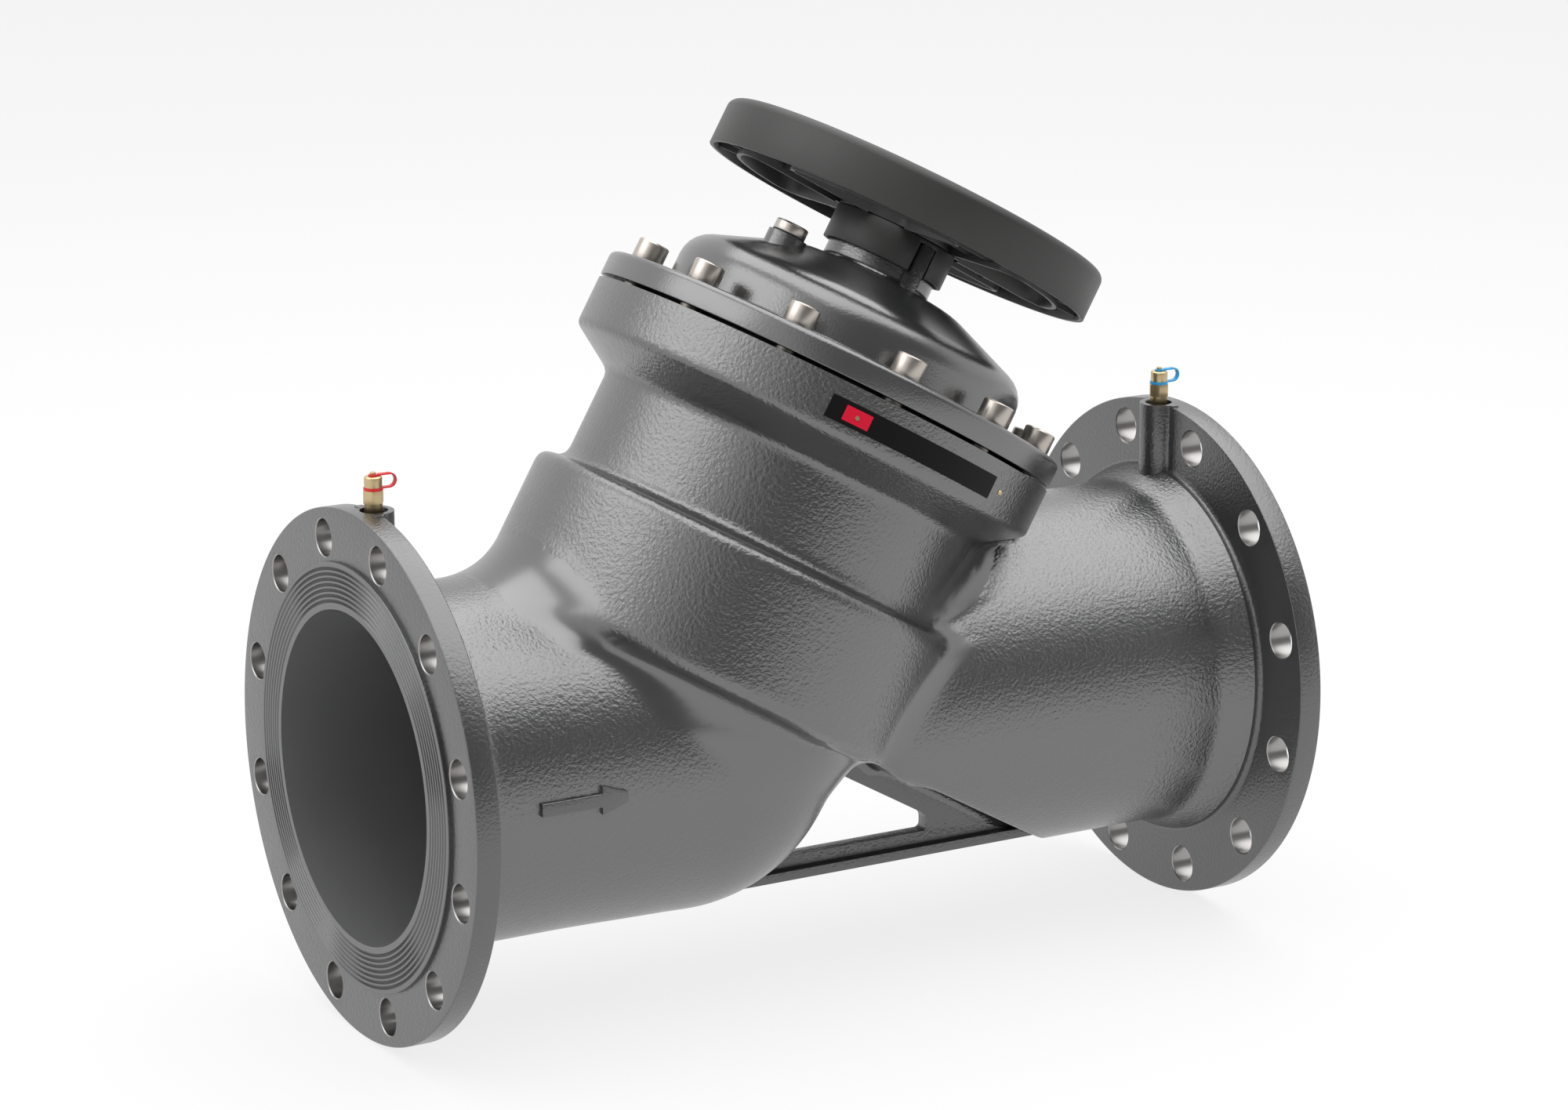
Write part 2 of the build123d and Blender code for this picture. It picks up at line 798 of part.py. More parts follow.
# Nameplate rolled round the body flange, and its rivets
plate_r = body_flange_r + cap_gap
with BuildPart() as nameplate:
    with BuildSketch(level(plate_level)):
        with BuildLine():
            plate_sweep = plate_end_angle - plate_start_angle
            inner = CenterArc((0, 0), plate_r, plate_start_angle - 90, plate_sweep)
            outer = CenterArc((0, 0), plate_r + plate_thickness, plate_start_angle - 90, plate_sweep)
            Line(inner @ 0, outer @ 0)
            Line(inner @ 1, outer @ 1)
        make_face()
    extrude(amount=plate_height)
    with BuildSketch(rim_plane(rivet_angles[0], plate_r + 2 * plate_thickness, rivet_level)):
        Circle(rivet_shank_r + fitted_gap)
    extrude(amount=-3 * plate_thickness, mode=Mode.SUBTRACT)
save(nameplate, "nameplate")

with BuildPart() as nameplate_rivets:
    for angle, head_r in zip(rivet_angles, (plate_r + plate_thickness + cap_gap, plate_r)):
        with BuildSketch(rim_plane(angle, head_r, rivet_level)):
            Circle(rivet_head_r)
        extrude(amount=rivet_head_height, taper=25)
        with BuildSketch(rim_plane(angle, head_r, rivet_level)):
            Circle(rivet_shank_r)
        extrude(amount=-rivet_length)
save(nameplate_rivets, "nameplate_rivets")

# Throttling cone: plate, six ribs and guide tube in one casting
with BuildPart() as cone:
    with BuildSketch(section()):
        with BuildLine():
            FilletPolyline(
                (0, cone_low),
                (cone_r, cone_low),
                (cone_r, cone_top),
                (cone_tube_r, cone_top),
                (cone_tube_r, cone_tube_top),
                (nut_r + fitted_gap, cone_tube_top),
                (nut_r + fitted_gap, nut_low),
                (cone_tube_bore_r, nut_low),
                (cone_tube_bore_r, cone_top),
                (0, cone_top),
                radius=[0, 0, cone_edge_r, cone_edge_r, 0, 0, 0, 0, 0, 0],
                close=True,
            )
        make_face()
    revolve(axis=bonnet_axis)
    for rib in range(cone_rib_count):
        with BuildSketch(section(rib * 360 / cone_rib_count + 180 / cone_rib_count)):
            with BuildLine():
                Polyline(
                    (cone_tube_r - 1, cone_top - 1),
                    (cone_r - cone_rib_set, cone_top - 1),
                    (cone_r - cone_rib_set, cone_top),
                    (cone_tube_r - 1, cone_top + cone_rib_height),
                    close=True,
                )
            make_face()
        extrude(amount=cone_rib_thickness / 2, both=True)
    with BuildSketch(level(cone_tube_top)):
        with PolarLocations((cone_tube_r + keyway_floor_r) / 2, 2, start_angle=90):
            Rectangle(keyway_depth, keyway_width)
    extrude(amount=guide_key_low - guide_key_lift - travel - cone_tube_top, mode=Mode.SUBTRACT)
    with BuildSketch(level(cone_tube_top - circlip_height)):
        Circle(nut_r + circlip_grip + fitted_gap)
    extrude(amount=circlip_height / 2, mode=Mode.SUBTRACT)
    with BuildSketch(level(cone_low)):
        with PolarLocations(cage_screw_circle_r, cage_screw_count):
            Circle(cage_screw_r + fitted_gap)
    extrude(amount=cage_screw_depth, mode=Mode.SUBTRACT)
save(cone, "cone")

with BuildPart() as cone_seal:
    with BuildSketch(level(seat_top)):
        Circle(seat_land_r)
        Circle(cage_r + fitted_gap, mode=Mode.SUBTRACT)
    extrude(amount=seal_thickness)
save(cone_seal, "cone_seal")

# Cage under the cone. Its pointed ports open one after the other as it lifts.
with BuildPart() as throttle_cage:
    with BuildSketch(level(cone_low)):
        Circle(cage_r)
    extrude(amount=cage_low - cone_low)
    with BuildSketch(level(cage_low)):
        Circle(cage_r - cage_wall)
    extrude(amount=deck_top - cage_low, mode=Mode.SUBTRACT)
    with BuildSketch(level(deck_top)):
        Circle(cage_plate_bore_r)
    extrude(amount=cone_low - deck_top, mode=Mode.SUBTRACT)
    for port in range(cage_port_count):
        with BuildSketch(rim_plane(port * 360 / cage_port_count, cage_r + 1, cage_low)):
            with BuildLine():
                Polyline(
                    (0, -cage_port_width / 2),
                    (0, cage_port_width / 2),
                    (cage_length - cage_port_drop, 0),
                    close=True,
                )
            make_face()
        extrude(amount=-cage_r / 3, mode=Mode.SUBTRACT)
    with BuildSketch(level(deck_top)):
        with PolarLocations(cage_screw_circle_r, cage_screw_count):
            Circle(cage_screw_hole_r)
    extrude(amount=cone_low - deck_top, mode=Mode.SUBTRACT)
save(throttle_cage, "throttle_cage")

with BuildPart() as cage_screws:
    with BuildSketch(level(deck_top)):
        with PolarLocations(cage_screw_circle_r, cage_screw_count):
            Circle(cage_screw_head_r)
    extrude(amount=-cage_screw_head_height)
    with BuildSketch(level(deck_top - cage_screw_head_height)):
        with PolarLocations(cage_screw_circle_r, cage_screw_count):
            RegularPolygon(hexagon_r(cage_screw_socket_flats), 6)
    extrude(amount=cage_screw_socket_depth, mode=Mode.SUBTRACT)
    with BuildSketch(level(deck_top)):
        with PolarLocations(cage_screw_circle_r, cage_screw_count):
            Circle(cage_screw_r)
    extrude(amount=cone_low - deck_top + cage_screw_depth - cage_screw_set)
save(cage_screws, "cage_screws")

# Spindle nut in the top of the guide tube, held by an open circlip
with BuildPart() as spindle_nut:
    with BuildSketch(level(nut_low)):
        Circle(nut_r)
        Circle(spindle_r + fitted_gap, mode=Mode.SUBTRACT)
    extrude(amount=nut_height)
save(spindle_nut, "spindle_nut")

with BuildPart() as nut_circlip:
    with BuildSketch(level(cone_tube_top - circlip_height)):
        Circle(nut_r + circlip_grip)
        Circle(nut_r - 2 * circlip_grip, mode=Mode.SUBTRACT)
        with Locations((nut_r, 0)):
            Rectangle(nut_r, circlip_gap, mode=Mode.SUBTRACT)
    extrude(amount=circlip_height / 2 - fitted_gap)
save(nut_circlip, "nut_circlip")

# Spindle: it turns between the thrust washers and the wheel sits on its stepped top.
key_level = hub_low + wheel_gap
key_out = wheel_seat_r - wheel_key_sink
with BuildPart() as spindle:
    with BuildSketch(section()):
        with BuildLine():
            Polyline(
                (0, spindle_low),
                (spindle_r - spindle_chamfer, spindle_low),
                (spindle_r, spindle_low + spindle_chamfer),
                (spindle_r, collar_low),
                (thrust_collar_r, collar_low),
                (thrust_collar_r, collar_top),
                (spindle_r, collar_top),
                (spindle_r, hub_low),
                (wheel_seat_r, hub_low),
                (wheel_seat_r, spindle_top),
                (0, spindle_top),
                close=True,
            )
        make_face()
    revolve(axis=bonnet_axis)
    with BuildSketch(level(key_level - fitted_gap)):
        with Locations((0, -key_out - wheel_key_height / 2)):
            Rectangle(wheel_key_width + 2 * fitted_gap, wheel_key_height)
    extrude(amount=wheel_key_length + 2 * fitted_gap, mode=Mode.SUBTRACT)
    with BuildSketch(level(spindle_top)):
        Circle(wheel_screw_r + fitted_gap)
    extrude(amount=-wheel_screw_length, mode=Mode.SUBTRACT)
save(spindle, "spindle")

with BuildPart() as wheel_key:
    with BuildSketch(level(key_level)):
        with Locations((0, -key_out - wheel_key_height / 2)):
            Rectangle(wheel_key_width, wheel_key_height)
    extrude(amount=wheel_key_length)
save(wheel_key, "wheel_key")

# Handwheel: a thin-walled moulding, open below, with four channel spokes and a ribbed rim
with BuildSketch() as window_shape:
    Circle(rim_inner_r)
    Circle(collar_r, mode=Mode.SUBTRACT)
    Rectangle(2 * rim_inner_r, spoke_width, mode=Mode.SUBTRACT)
    Rectangle(spoke_width, 2 * rim_inner_r, mode=Mode.SUBTRACT)
    fillet(window_shape.vertices(), spoke_corner_r)

with BuildPart() as handwheel:
    with BuildSketch(section()):
        with BuildLine():
            FilletPolyline(
                (0, wheel_low),
                (wheel_r, wheel_low),
                (wheel_r, wheel_top),
                (0, wheel_top),
                radius=[0, 0, wheel_top_r, 0],
                close=True,
            )
        make_face()
    revolve(axis=bonnet_axis)
    with BuildSketch(level(wheel_low)):
        add(window_shape.sketch)
    extrude(amount=wheel_height, mode=Mode.SUBTRACT)
    with BuildSketch(level(wheel_low)):
        Circle(wheel_r - wheel_wall)
        with BuildSketch(mode=Mode.SUBTRACT):
            add(window_shape.sketch)
            offset(amount=wheel_wall)
    extrude(amount=ceiling - wheel_low, mode=Mode.SUBTRACT)

    # Ribs in the rim and across the spokes, and the wall and boss of the hub
    with BuildSketch(level(wheel_low + wheel_wall)):
        with PolarLocations((wheel_r + rim_inner_r) / 2, rim_rib_count):
            Rectangle(wheel_r - rim_inner_r - wheel_wall, rim_rib_thickness)
        for rib_place in spoke_rib_places:
            with PolarLocations(rib_place, 4):
                Rectangle(rim_rib_thickness, spoke_width - wheel_wall)
    extrude(amount=ceiling - wheel_low - wheel_wall)
    with BuildSketch(level(hub_low)):
        Circle(collar_r)
        Circle(collar_r - wheel_wall, mode=Mode.SUBTRACT)
        Circle(wheel_boss_r)
    extrude(amount=ceiling - hub_low)
    with BuildSketch(level(wheel_low)):
        Circle(collar_r + wheel_wall)
    extrude(amount=hub_low - wheel_low, mode=Mode.SUBTRACT)

    # Well in the top for the fixing screw and the cover, and the keyed bore
    well_r = hub_cover_r + fitted_gap
    with BuildSketch(level(hub_well - wheel_skin)):
        Circle(well_r + wheel_wall)
    extrude(amount=ceiling - hub_well + wheel_skin)
    with BuildSketch(level(hub_well)):
        Circle(well_r)
    extrude(amount=hub_well_depth, mode=Mode.SUBTRACT)
    with BuildSketch(level(hub_low)):
        Circle(wheel_seat_r + fitted_gap)
        with Locations((0, -key_out - wheel_key_height / 2)):
            Rectangle(wheel_key_width + 2 * fitted_gap, wheel_key_height + 2 * fitted_gap)
    extrude(amount=hub_well - hub_low, mode=Mode.SUBTRACT)
save(handwheel, "handwheel")

with BuildPart() as wheel_washer:
    with BuildSketch(level(hub_well)):
        Circle(wheel_washer_r)
        Circle(wheel_screw_r + slide_gap, mode=Mode.SUBTRACT)
    extrude(amount=wheel_washer_thickness)
save(wheel_washer, "wheel_washer")

with BuildPart() as wheel_screw:
    with BuildSketch(level(washer_top)):
        Circle(wheel_screw_head_r)
    extrude(amount=wheel_screw_head_height)
    with BuildSketch(level(washer_top + wheel_screw_head_height)):
        RegularPolygon(hexagon_r(wheel_screw_socket_flats), 6)
    extrude(amount=-wheel_screw_socket_depth, mode=Mode.SUBTRACT)
    with BuildSketch(level(washer_top)):
        Circle(wheel_screw_r)
    extrude(amount=spindle_top - wheel_screw_length + wheel_gap - washer_top)
save(wheel_screw, "wheel_screw")

with BuildPart() as hub_cover:
    cover_top = wheel_top + hub_cover_stand
    with BuildSketch(section()):
        with BuildLine():
            FilletPolyline(
                (hub_cover_r, hub_well),
                (hub_cover_r, cover_top),
                (0, cover_top),
                (0, cover_top - hub_cover_top),
                (hub_cover_r - hub_cover_wall, cover_top - hub_cover_top),
                (hub_cover_r - hub_cover_wall, hub_well),
                radius=[0, hub_cover_edge_r, 0, 0, 0, 0],
                close=True,
            )
        make_face()
    revolve(axis=bonnet_axis)
save(hub_cover, "hub_cover")

# Test plugs: nipple, core, cap with its pin, and the strap that keeps the cap
for side, x in zip(("inlet", "outlet"), tapping_places):
    with BuildPart() as nipple:
        nipple_steps = (
            (nipple_low, tapping_thread_r, recess_floor),
            (recess_floor, nipple_r, hex_low),
            (hex_low, nipple_tip_r, tip_top),
        )
        for low, radius, top in nipple_steps:
            with BuildSketch(Plane.XY.offset(low)):
                with Locations((x, 0)):
                    Circle(radius)
            extrude(amount=top - low)
        with BuildSketch(Plane.XY.offset(hex_low)):
            with Locations((x, 0)):
                RegularPolygon(hexagon_r(nipple_hex_flats), 6)
        extrude(amount=nipple_hex_height)
        with BuildSketch(Plane.XY.offset(nipple_low)):
            with Locations((x, 0)):
                Circle(nipple_bore_r)
        extrude(amount=tip_top - nipple_low, mode=Mode.SUBTRACT)
        with BuildSketch(Plane.XY.offset(tip_top)):
            with Locations((x, 0)):
                Circle(core_r + fitted_gap)
        extrude(amount=-core_length, mode=Mode.SUBTRACT)
    save(nipple, f"{side}_test_nipple")

    with BuildPart() as core:
        with BuildSketch(Plane.XY.offset(tip_top - core_length)):
            with Locations((x, 0)):
                Circle(core_r)
        extrude(amount=core_length)
    save(core, f"{side}_test_core")

    with BuildPart() as strap:
        with BuildSketch(Plane.XY.offset(hex_top)):
            with Locations((x, 0)):
                Circle(strap_ring_r)
                Circle(nipple_tip_r + slide_gap, mode=Mode.SUBTRACT)
        extrude(amount=strap_ring_height)
        with BuildSketch(Plane.XY.offset(eye_low)):
            with Locations((x, 0)):
                Circle(strap_eye_r)
                Circle(cap_pin_r + slide_gap, mode=Mode.SUBTRACT)
        extrude(amount=strap_thickness)
        band_low = hex_top + strap_ring_height / 2
        band_high = eye_low + strap_thickness / 2
        turn_r = (band_high - band_low) / 2
        with BuildSketch(Plane.XZ):
            with BuildLine():
                Line((x + strap_ring_r - 1, band_low), (x + strap_reach - turn_r, band_low))
                ThreePointArc(
                    (x + strap_reach - turn_r, band_low),
                    (x + strap_reach, band_low + turn_r),
                    (x + strap_reach - turn_r, band_high),
                )
                Line((x + strap_reach - turn_r, band_high), (x + strap_eye_r - 1, band_high))
                offset(amount=strap_thickness / 2)
            make_face()
        extrude(amount=strap_width / 2, both=True)
    save(strap, f"{side}_test_strap")

    with BuildPart() as cap:
        with BuildSketch(Plane.XY.offset(cap_low)):
            with Locations((x, 0)):
                Circle(cap_r)
        extrude(amount=cap_height)
        chamfer(cap.faces().sort_by(Axis.Z)[-1].edges(), cap_crown / 2)
        with BuildSketch(Plane.XY.offset(cap_low)):
            with Locations((x, 0)):
                Circle(nipple_tip_r + cap_gap)
        extrude(amount=cap_height - cap_crown, mode=Mode.SUBTRACT)
        with BuildSketch(Plane.XY.offset(cap_top)):
            with Locations((x, 0)):
                Circle(cap_pin_r + fitted_gap)
        extrude(amount=-cap_crown, mode=Mode.SUBTRACT)
    save(cap, f"{side}_test_cap")

    with BuildPart() as cap_pin:
        with BuildSketch(Plane.XY.offset(cap_top - cap_crown)):
            with Locations((x, 0)):
                Circle(cap_pin_r)
        extrude(amount=eye_top + cap_gap - cap_top + cap_crown)
        with BuildSketch(Plane.XY.offset(eye_top + cap_gap)):
            with Locations((x, 0)):
                Circle(cap_pin_head_r)
        extrude(amount=cap_pin_head_height)
    save(cap_pin, f"{side}_cap_pin")
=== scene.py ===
import json
from math import cos, hypot, pi, radians, sin, sqrt, tan

import bpy
import numpy as np
from mathutils import Matrix, Vector

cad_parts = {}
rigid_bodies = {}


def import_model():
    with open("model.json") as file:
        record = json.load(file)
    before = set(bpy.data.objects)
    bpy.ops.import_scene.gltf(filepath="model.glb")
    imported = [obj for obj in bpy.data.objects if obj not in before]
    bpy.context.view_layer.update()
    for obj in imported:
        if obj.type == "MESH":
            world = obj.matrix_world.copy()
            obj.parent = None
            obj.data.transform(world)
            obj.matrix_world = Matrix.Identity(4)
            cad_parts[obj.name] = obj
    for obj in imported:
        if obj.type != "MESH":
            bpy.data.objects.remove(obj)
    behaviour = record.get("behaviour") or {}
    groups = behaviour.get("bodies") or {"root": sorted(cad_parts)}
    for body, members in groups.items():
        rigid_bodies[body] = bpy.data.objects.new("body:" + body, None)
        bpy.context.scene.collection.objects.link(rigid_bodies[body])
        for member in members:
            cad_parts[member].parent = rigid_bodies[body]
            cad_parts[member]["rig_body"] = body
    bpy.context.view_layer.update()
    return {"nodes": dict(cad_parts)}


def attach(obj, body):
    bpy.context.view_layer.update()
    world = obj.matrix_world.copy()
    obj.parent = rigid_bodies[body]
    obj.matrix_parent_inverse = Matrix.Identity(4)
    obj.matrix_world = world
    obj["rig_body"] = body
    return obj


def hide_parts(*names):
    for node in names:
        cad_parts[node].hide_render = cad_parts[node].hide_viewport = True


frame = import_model()
nodes = frame["nodes"]

# Stage: the valve hangs a hair above a plain pale floor in an even white studio, lit by two
# softboxes. The camera looks from the inlet side, a little above the pipe line, as the
# photograph does.
view_turn = radians(-30)
view_rise = radians(15)
view_distance = 3.6755
looked_at = Vector((0.36515, 0, 0.12037))
backwards = Vector(
    (sin(view_turn) * cos(view_rise), -cos(view_turn) * cos(view_rise), sin(view_rise))
)
open_way = (0.05, -0.97, 0.22)
floor_size = 30
floor_level = -0.2005


def aimed(name, data, place, away):
    """A camera or a lamp at this place, with its back turned this way."""
    made = bpy.data.objects.new(name, data)
    made.location = place
    made.rotation_euler = away.to_track_quat("Z", "Y").to_euler()
    bpy.context.scene.collection.objects.link(made)
    return made


def soft_light(name, place, width, height, watts):
    """A softbox at this place, turned to the middle of the valve."""
    lamp = bpy.data.lights.new(name, "AREA")
    lamp.shape = "RECTANGLE"
    lamp.size = width
    lamp.size_y = height
    lamp.energy = watts
    aimed(name, lamp, place, Vector(place) - looked_at)


def add_node(tree, kind, values=None, operation=None):
    """A shader node of this kind, with these values on its sockets."""
    made = tree.nodes.new("ShaderNode" + kind)
    if operation:
        made.operation = operation
    for socket, value in (values or {}).items():
        made.inputs[socket].default_value = value
    return made


camera_data = bpy.data.cameras.new("camera")
camera_data.lens = 110.79
camera_data.sensor_width = 36
bpy.context.scene.camera = aimed(
    "camera", camera_data, looked_at + view_distance * backwards, backwards
)
bpy.context.scene.view_settings.view_transform = "Standard"
soft_light("left_softbox", (-1.95, 0.45, 1.95), width=2.7, height=1.4, watts=21)
soft_light("overhead_softbox", (0.8, 0, 2.5), width=4.6, height=3.6, watts=92)

studio = bpy.data.worlds.new("studio")
studio.use_nodes = True
bpy.context.scene.world = studio
air = studio.node_tree
background = air.nodes["Background"]
background.inputs["Color"].default_value = (1, 1, 1, 1)
rays = add_node(air, "LightPath")
seen = add_node(air, "Math", operation="MAXIMUM")
way = add_node(air, "TexCoord")
open_side = add_node(air, "VectorMath", {1: open_way}, "DOT_PRODUCT")
walls = add_node(
    air, "MapRange", {"From Min": 0.5, "From Max": 0.88, "To Min": 1.0, "To Max": 0.2}
)
walls.interpolation_type = "SMOOTHSTEP"
mirrored = add_node(air, "Mix", {"A": 0.5})
strength = add_node(air, "Mix", {"B": 1.0})
air.links.new(rays.outputs["Is Camera Ray"], seen.inputs[0])
air.links.new(rays.outputs["Is Transmission Ray"], seen.inputs[1])
air.links.new(way.outputs["Generated"], open_side.inputs[0])
air.links.new(open_side.outputs["Value"], walls.inputs["Value"])
air.links.new(rays.outputs["Is Glossy Ray"], mirrored.inputs["Factor"])
air.links.new(walls.outputs[0], mirrored.inputs["B"])
air.links.new(seen.outputs[0], strength.inputs["Factor"])
air.links.new(mirrored.outputs[0], strength.inputs["A"])
air.links.new(strength.outputs[0], background.inputs["Strength"])

bpy.ops.mesh.primitive_plane_add(size=floor_size, location=(0.3, 0, floor_level))
floor = bpy.context.object
floor.name = "floor"
pale = bpy.data.materials.new("pale_floor")
pale.use_nodes = True
paint = pale.node_tree
lit = paint.nodes["Principled BSDF"]
lit.inputs["Base Color"].default_value = (0.9, 0.9, 0.9, 1)
lit.inputs["Roughness"].default_value = 0.9
lit.inputs["Specular IOR Level"].default_value = 0
white = add_node(paint, "Emission")
rays = add_node(paint, "LightPath")
direct = add_node(paint, "Math", operation="MAXIMUM")
glow = add_node(paint, "Math", {1: 0.8}, "MULTIPLY")
blended = add_node(paint, "MixShader")
paint.links.new(rays.outputs["Is Camera Ray"], direct.inputs[0])
paint.links.new(rays.outputs["Is Glossy Ray"], direct.inputs[1])
paint.links.new(direct.outputs[0], glow.inputs[0])
paint.links.new(glow.outputs[0], blended.inputs["Fac"])
paint.links.new(lit.outputs[0], blended.inputs[1])
paint.links.new(white.outputs[0], blended.inputs[2])
paint.links.new(blended.outputs[0], paint.nodes["Material Output"].inputs["Surface"])
floor.data.materials.append(pale)


# Valve body: one ductile iron casting, dipped in dark grey enamel that dries with a coarse
# orange-peel skin. Both legs, the elbow and the stepped barrel run into each other in large
# cast radii, and the web under the deck has a window cast through it.
length = 0.730
bore_r = 0.125
pipe_r = 0.136
hub_r = 0.1475
hub_start = 0.028
hub_end = 0.051
foot_x = 0.255
foot = Vector((foot_x, 0, 0))
bonnet_up = Vector((0.5, 0, sqrt(0.75)))
down = -bonnet_up
elbow_r = 0.138
throat_r = 0.141
throat_rise = 0.028
deck_level = 0.048
barrel_r = 0.172
barrel_top = 0.153
neck_barrel_r = 0.152
flange_foot = 0.227
flange_low = 0.250
body_flange_r = 0.188
body_top = 0.288

# The skin runs on past its joints, where the flanges and the lid close it
skin_start = 0.015
skin_end = length - skin_start
skin_top = 0.295
skin_voxel = 0.0036
throat_overlap = 0.005
neck_overlap = 0.10
flange_overlap = 0.20
hub_overlap = 0.06
leg_overlap = 0.27
web_half = 0.006
web_low = -0.130
web_top = 0.055
web_end = 0.60
web_rise = 0.02
window_low = -0.119
window_top = 0.026
window_start = 0.24
window_end = 0.4911
window_margin = 0.001
window_round = 0.004
window_depth = 0.02

# Radii where the forms run into each other, and of their edges
inlet_blend = 0.014
outlet_blend = 0.030
tower_blend = 0.020
web_blend = 0.007
flange_blend = 0.006
cast_edge = 0.008
flange_edge_r = 0.005
small_edge = 0.004
web_edge = 0.0025
sharp_edge = 0.001

# The core that leaves the inside
pool_r = 0.1265
throat_bore_r = 0.1295
seat_low = 0.046
seat_top = 0.060
seat_bore_r = 0.11805
chamber_r = 0.160
chamber_top = 0.141
mouth_r = 0.139
core_top = 0.300

iron_grey = (0.034, 0.0345, 0.035)
fine_steps = 96


def enamel(name, colour, roughness, grain, bump, ior=1.5, peel=None):
    """Dried enamel: uneven gloss and an orange-peel skin of this grain and height in metres."""
    finish = bpy.data.materials.new(name)
    finish.use_nodes = True
    tree = finish.node_tree
    coat = tree.nodes["Principled BSDF"]
    coat.inputs["IOR"].default_value = ior
    place = add_node(tree, "TexCoord")
    skin = add_node(tree, "TexNoise", {"Scale": 1 / grain, "Detail": 2.5, "Roughness": 0.55})
    raised = add_node(tree, "Bump", {"Strength": 1.0, "Distance": bump})
    tree.links.new(place.outputs["Object"], skin.inputs["Vector"])
    height = skin.outputs["Fac"]
    if peel:
        shown = add_node(tree, "Attribute")
        shown.attribute_name = peel
        kept = add_node(tree, "Math", operation="MULTIPLY")
        tree.links.new(height, kept.inputs[0])
        tree.links.new(shown.outputs["Fac"], kept.inputs[1])
        height = kept.outputs[0]
    tree.links.new(height, raised.inputs["Height"])
    tree.links.new(raised.outputs[0], coat.inputs["Normal"])
    drift = add_node(tree, "TexNoise", {"Scale": 14, "Detail": 3})
    gloss = add_node(
        tree,
        "MapRange",
        {"From Min": 0.3, "From Max": 0.7, "To Min": roughness - 0.03, "To Max": roughness + 0.03},
    )
    tree.links.new(place.outputs["Object"], drift.inputs["Vector"])
    tree.links.new(drift.outputs["Fac"], gloss.inputs["Value"])
    tree.links.new(gloss.outputs[0], coat.inputs["Roughness"])
    tint = add_node(tree, "Mix")
    tint.data_type = "RGBA"
    tint.inputs["A"].default_value = tuple(c * 0.93 for c in colour) + (1,)
    tint.inputs["B"].default_value = tuple(c * 1.07 for c in colour) + (1,)
    tree.links.new(drift.outputs["Fac"], tint.inputs["Factor"])
    tree.links.new(tint.outputs["Result"], coat.inputs["Base Color"])
    return finish


def only(piece):
    """Select this piece and nothing else."""
    bpy.ops.object.select_all(action="DESELECT")
    piece.select_set(True)
    bpy.context.view_layer.objects.active = piece


def start_editing(piece):
    """Go into edit mode on this piece, with its whole mesh selected."""
    only(piece)
    bpy.ops.object.mode_set(mode="EDIT")
    bpy.ops.mesh.select_all(action="SELECT")


def apply_all(piece):
    """Apply the piece's modifiers in their order."""
    only(piece)
    for modifier in list(piece.modifiers):
        bpy.ops.object.modifier_apply(modifier=modifier.name)


def combine(piece, other, operation="DIFFERENCE", materials="INDEX"):
    """Cut another mesh out of the piece, or add it to the piece."""
    combined = piece.modifiers.new("combined", "BOOLEAN")
    combined.operation = operation
    combined.solver = "EXACT"
    combined.material_mode = materials
    combined.object = other
    apply_all(piece)


def break_edges(piece, width, segments, angle=30):
    """Round the edges of a piece that are sharper than this angle."""
    edged = piece.modifiers.new("edge", "BEVEL")
    edged.width = width
    edged.segments = segments
    edged.limit_method = "ANGLE"
    edged.angle_limit = radians(angle)
    apply_all(piece)


def smoothed(piece, iterations, group=""):
    """Even out a mesh, or only the points of one vertex group."""
    even = piece.modifiers.new("even", "SMOOTH")
    even.factor = 0.5
    even.iterations = iterations
    even.vertex_group = group
    apply_all(piece)


def set_down(piece):
    """Put a piece's place, turn and size into its mesh."""
    only(piece)
    bpy.ops.object.transform_apply(location=True, rotation=True, scale=True)


def lean(piece):
    """Carry a piece made upright at the origin over to the leaning bonnet axis."""
    leaning = Matrix.Rotation(radians(30), 4, "Y")
    piece.matrix_world = Matrix.Translation(foot) @ leaning @ piece.matrix_world
    set_down(piece)
    return piece


def at_level(level):
    """The place on the bonnet axis at this level."""
    return foot + level * bonnet_up


def bar(radius, start, end, axis="X"):
    """A round bar between two places on the pipe line, or two levels of the bonnet axis."""
    turn = (0, pi / 2, 0) if axis == "X" else (0, 0, 0)
    middle = (start + end) / 2
    place = (middle, 0, 0) if axis == "X" else (0, 0, middle)
    bpy.ops.mesh.primitive_cylinder_add(
        vertices=fine_steps, radius=radius, depth=end - start, location=place, rotation=turn
    )
    made = bpy.context.object
    set_down(made)
    return lean(made) if axis == "bonnet" else made


def ball(radius):
    """A ball round the foot of the bonnet axis."""
    bpy.ops.mesh.primitive_uv_sphere_add(
        segments=fine_steps, ring_count=fine_steps // 2, radius=radius, location=foot
    )
    made = bpy.context.object
    set_down(made)
    return made


def block(low, high):
    """A square block between two corners."""
    bpy.ops.mesh.primitive_cube_add(size=1, location=(Vector(low) + Vector(high)) / 2)
    made = bpy.context.object
    made.scale = Vector(high) - Vector(low)
    set_down(made)
    return made


def cut_off(piece, point, normal):
    """Cut a piece at a plane, close the cut and keep what lies behind it."""
    start_editing(piece)
    bpy.ops.mesh.bisect(plane_co=point, plane_no=normal, clear_outer=True, use_fill=True)
    bpy.ops.object.mode_set(mode="OBJECT")
    return piece


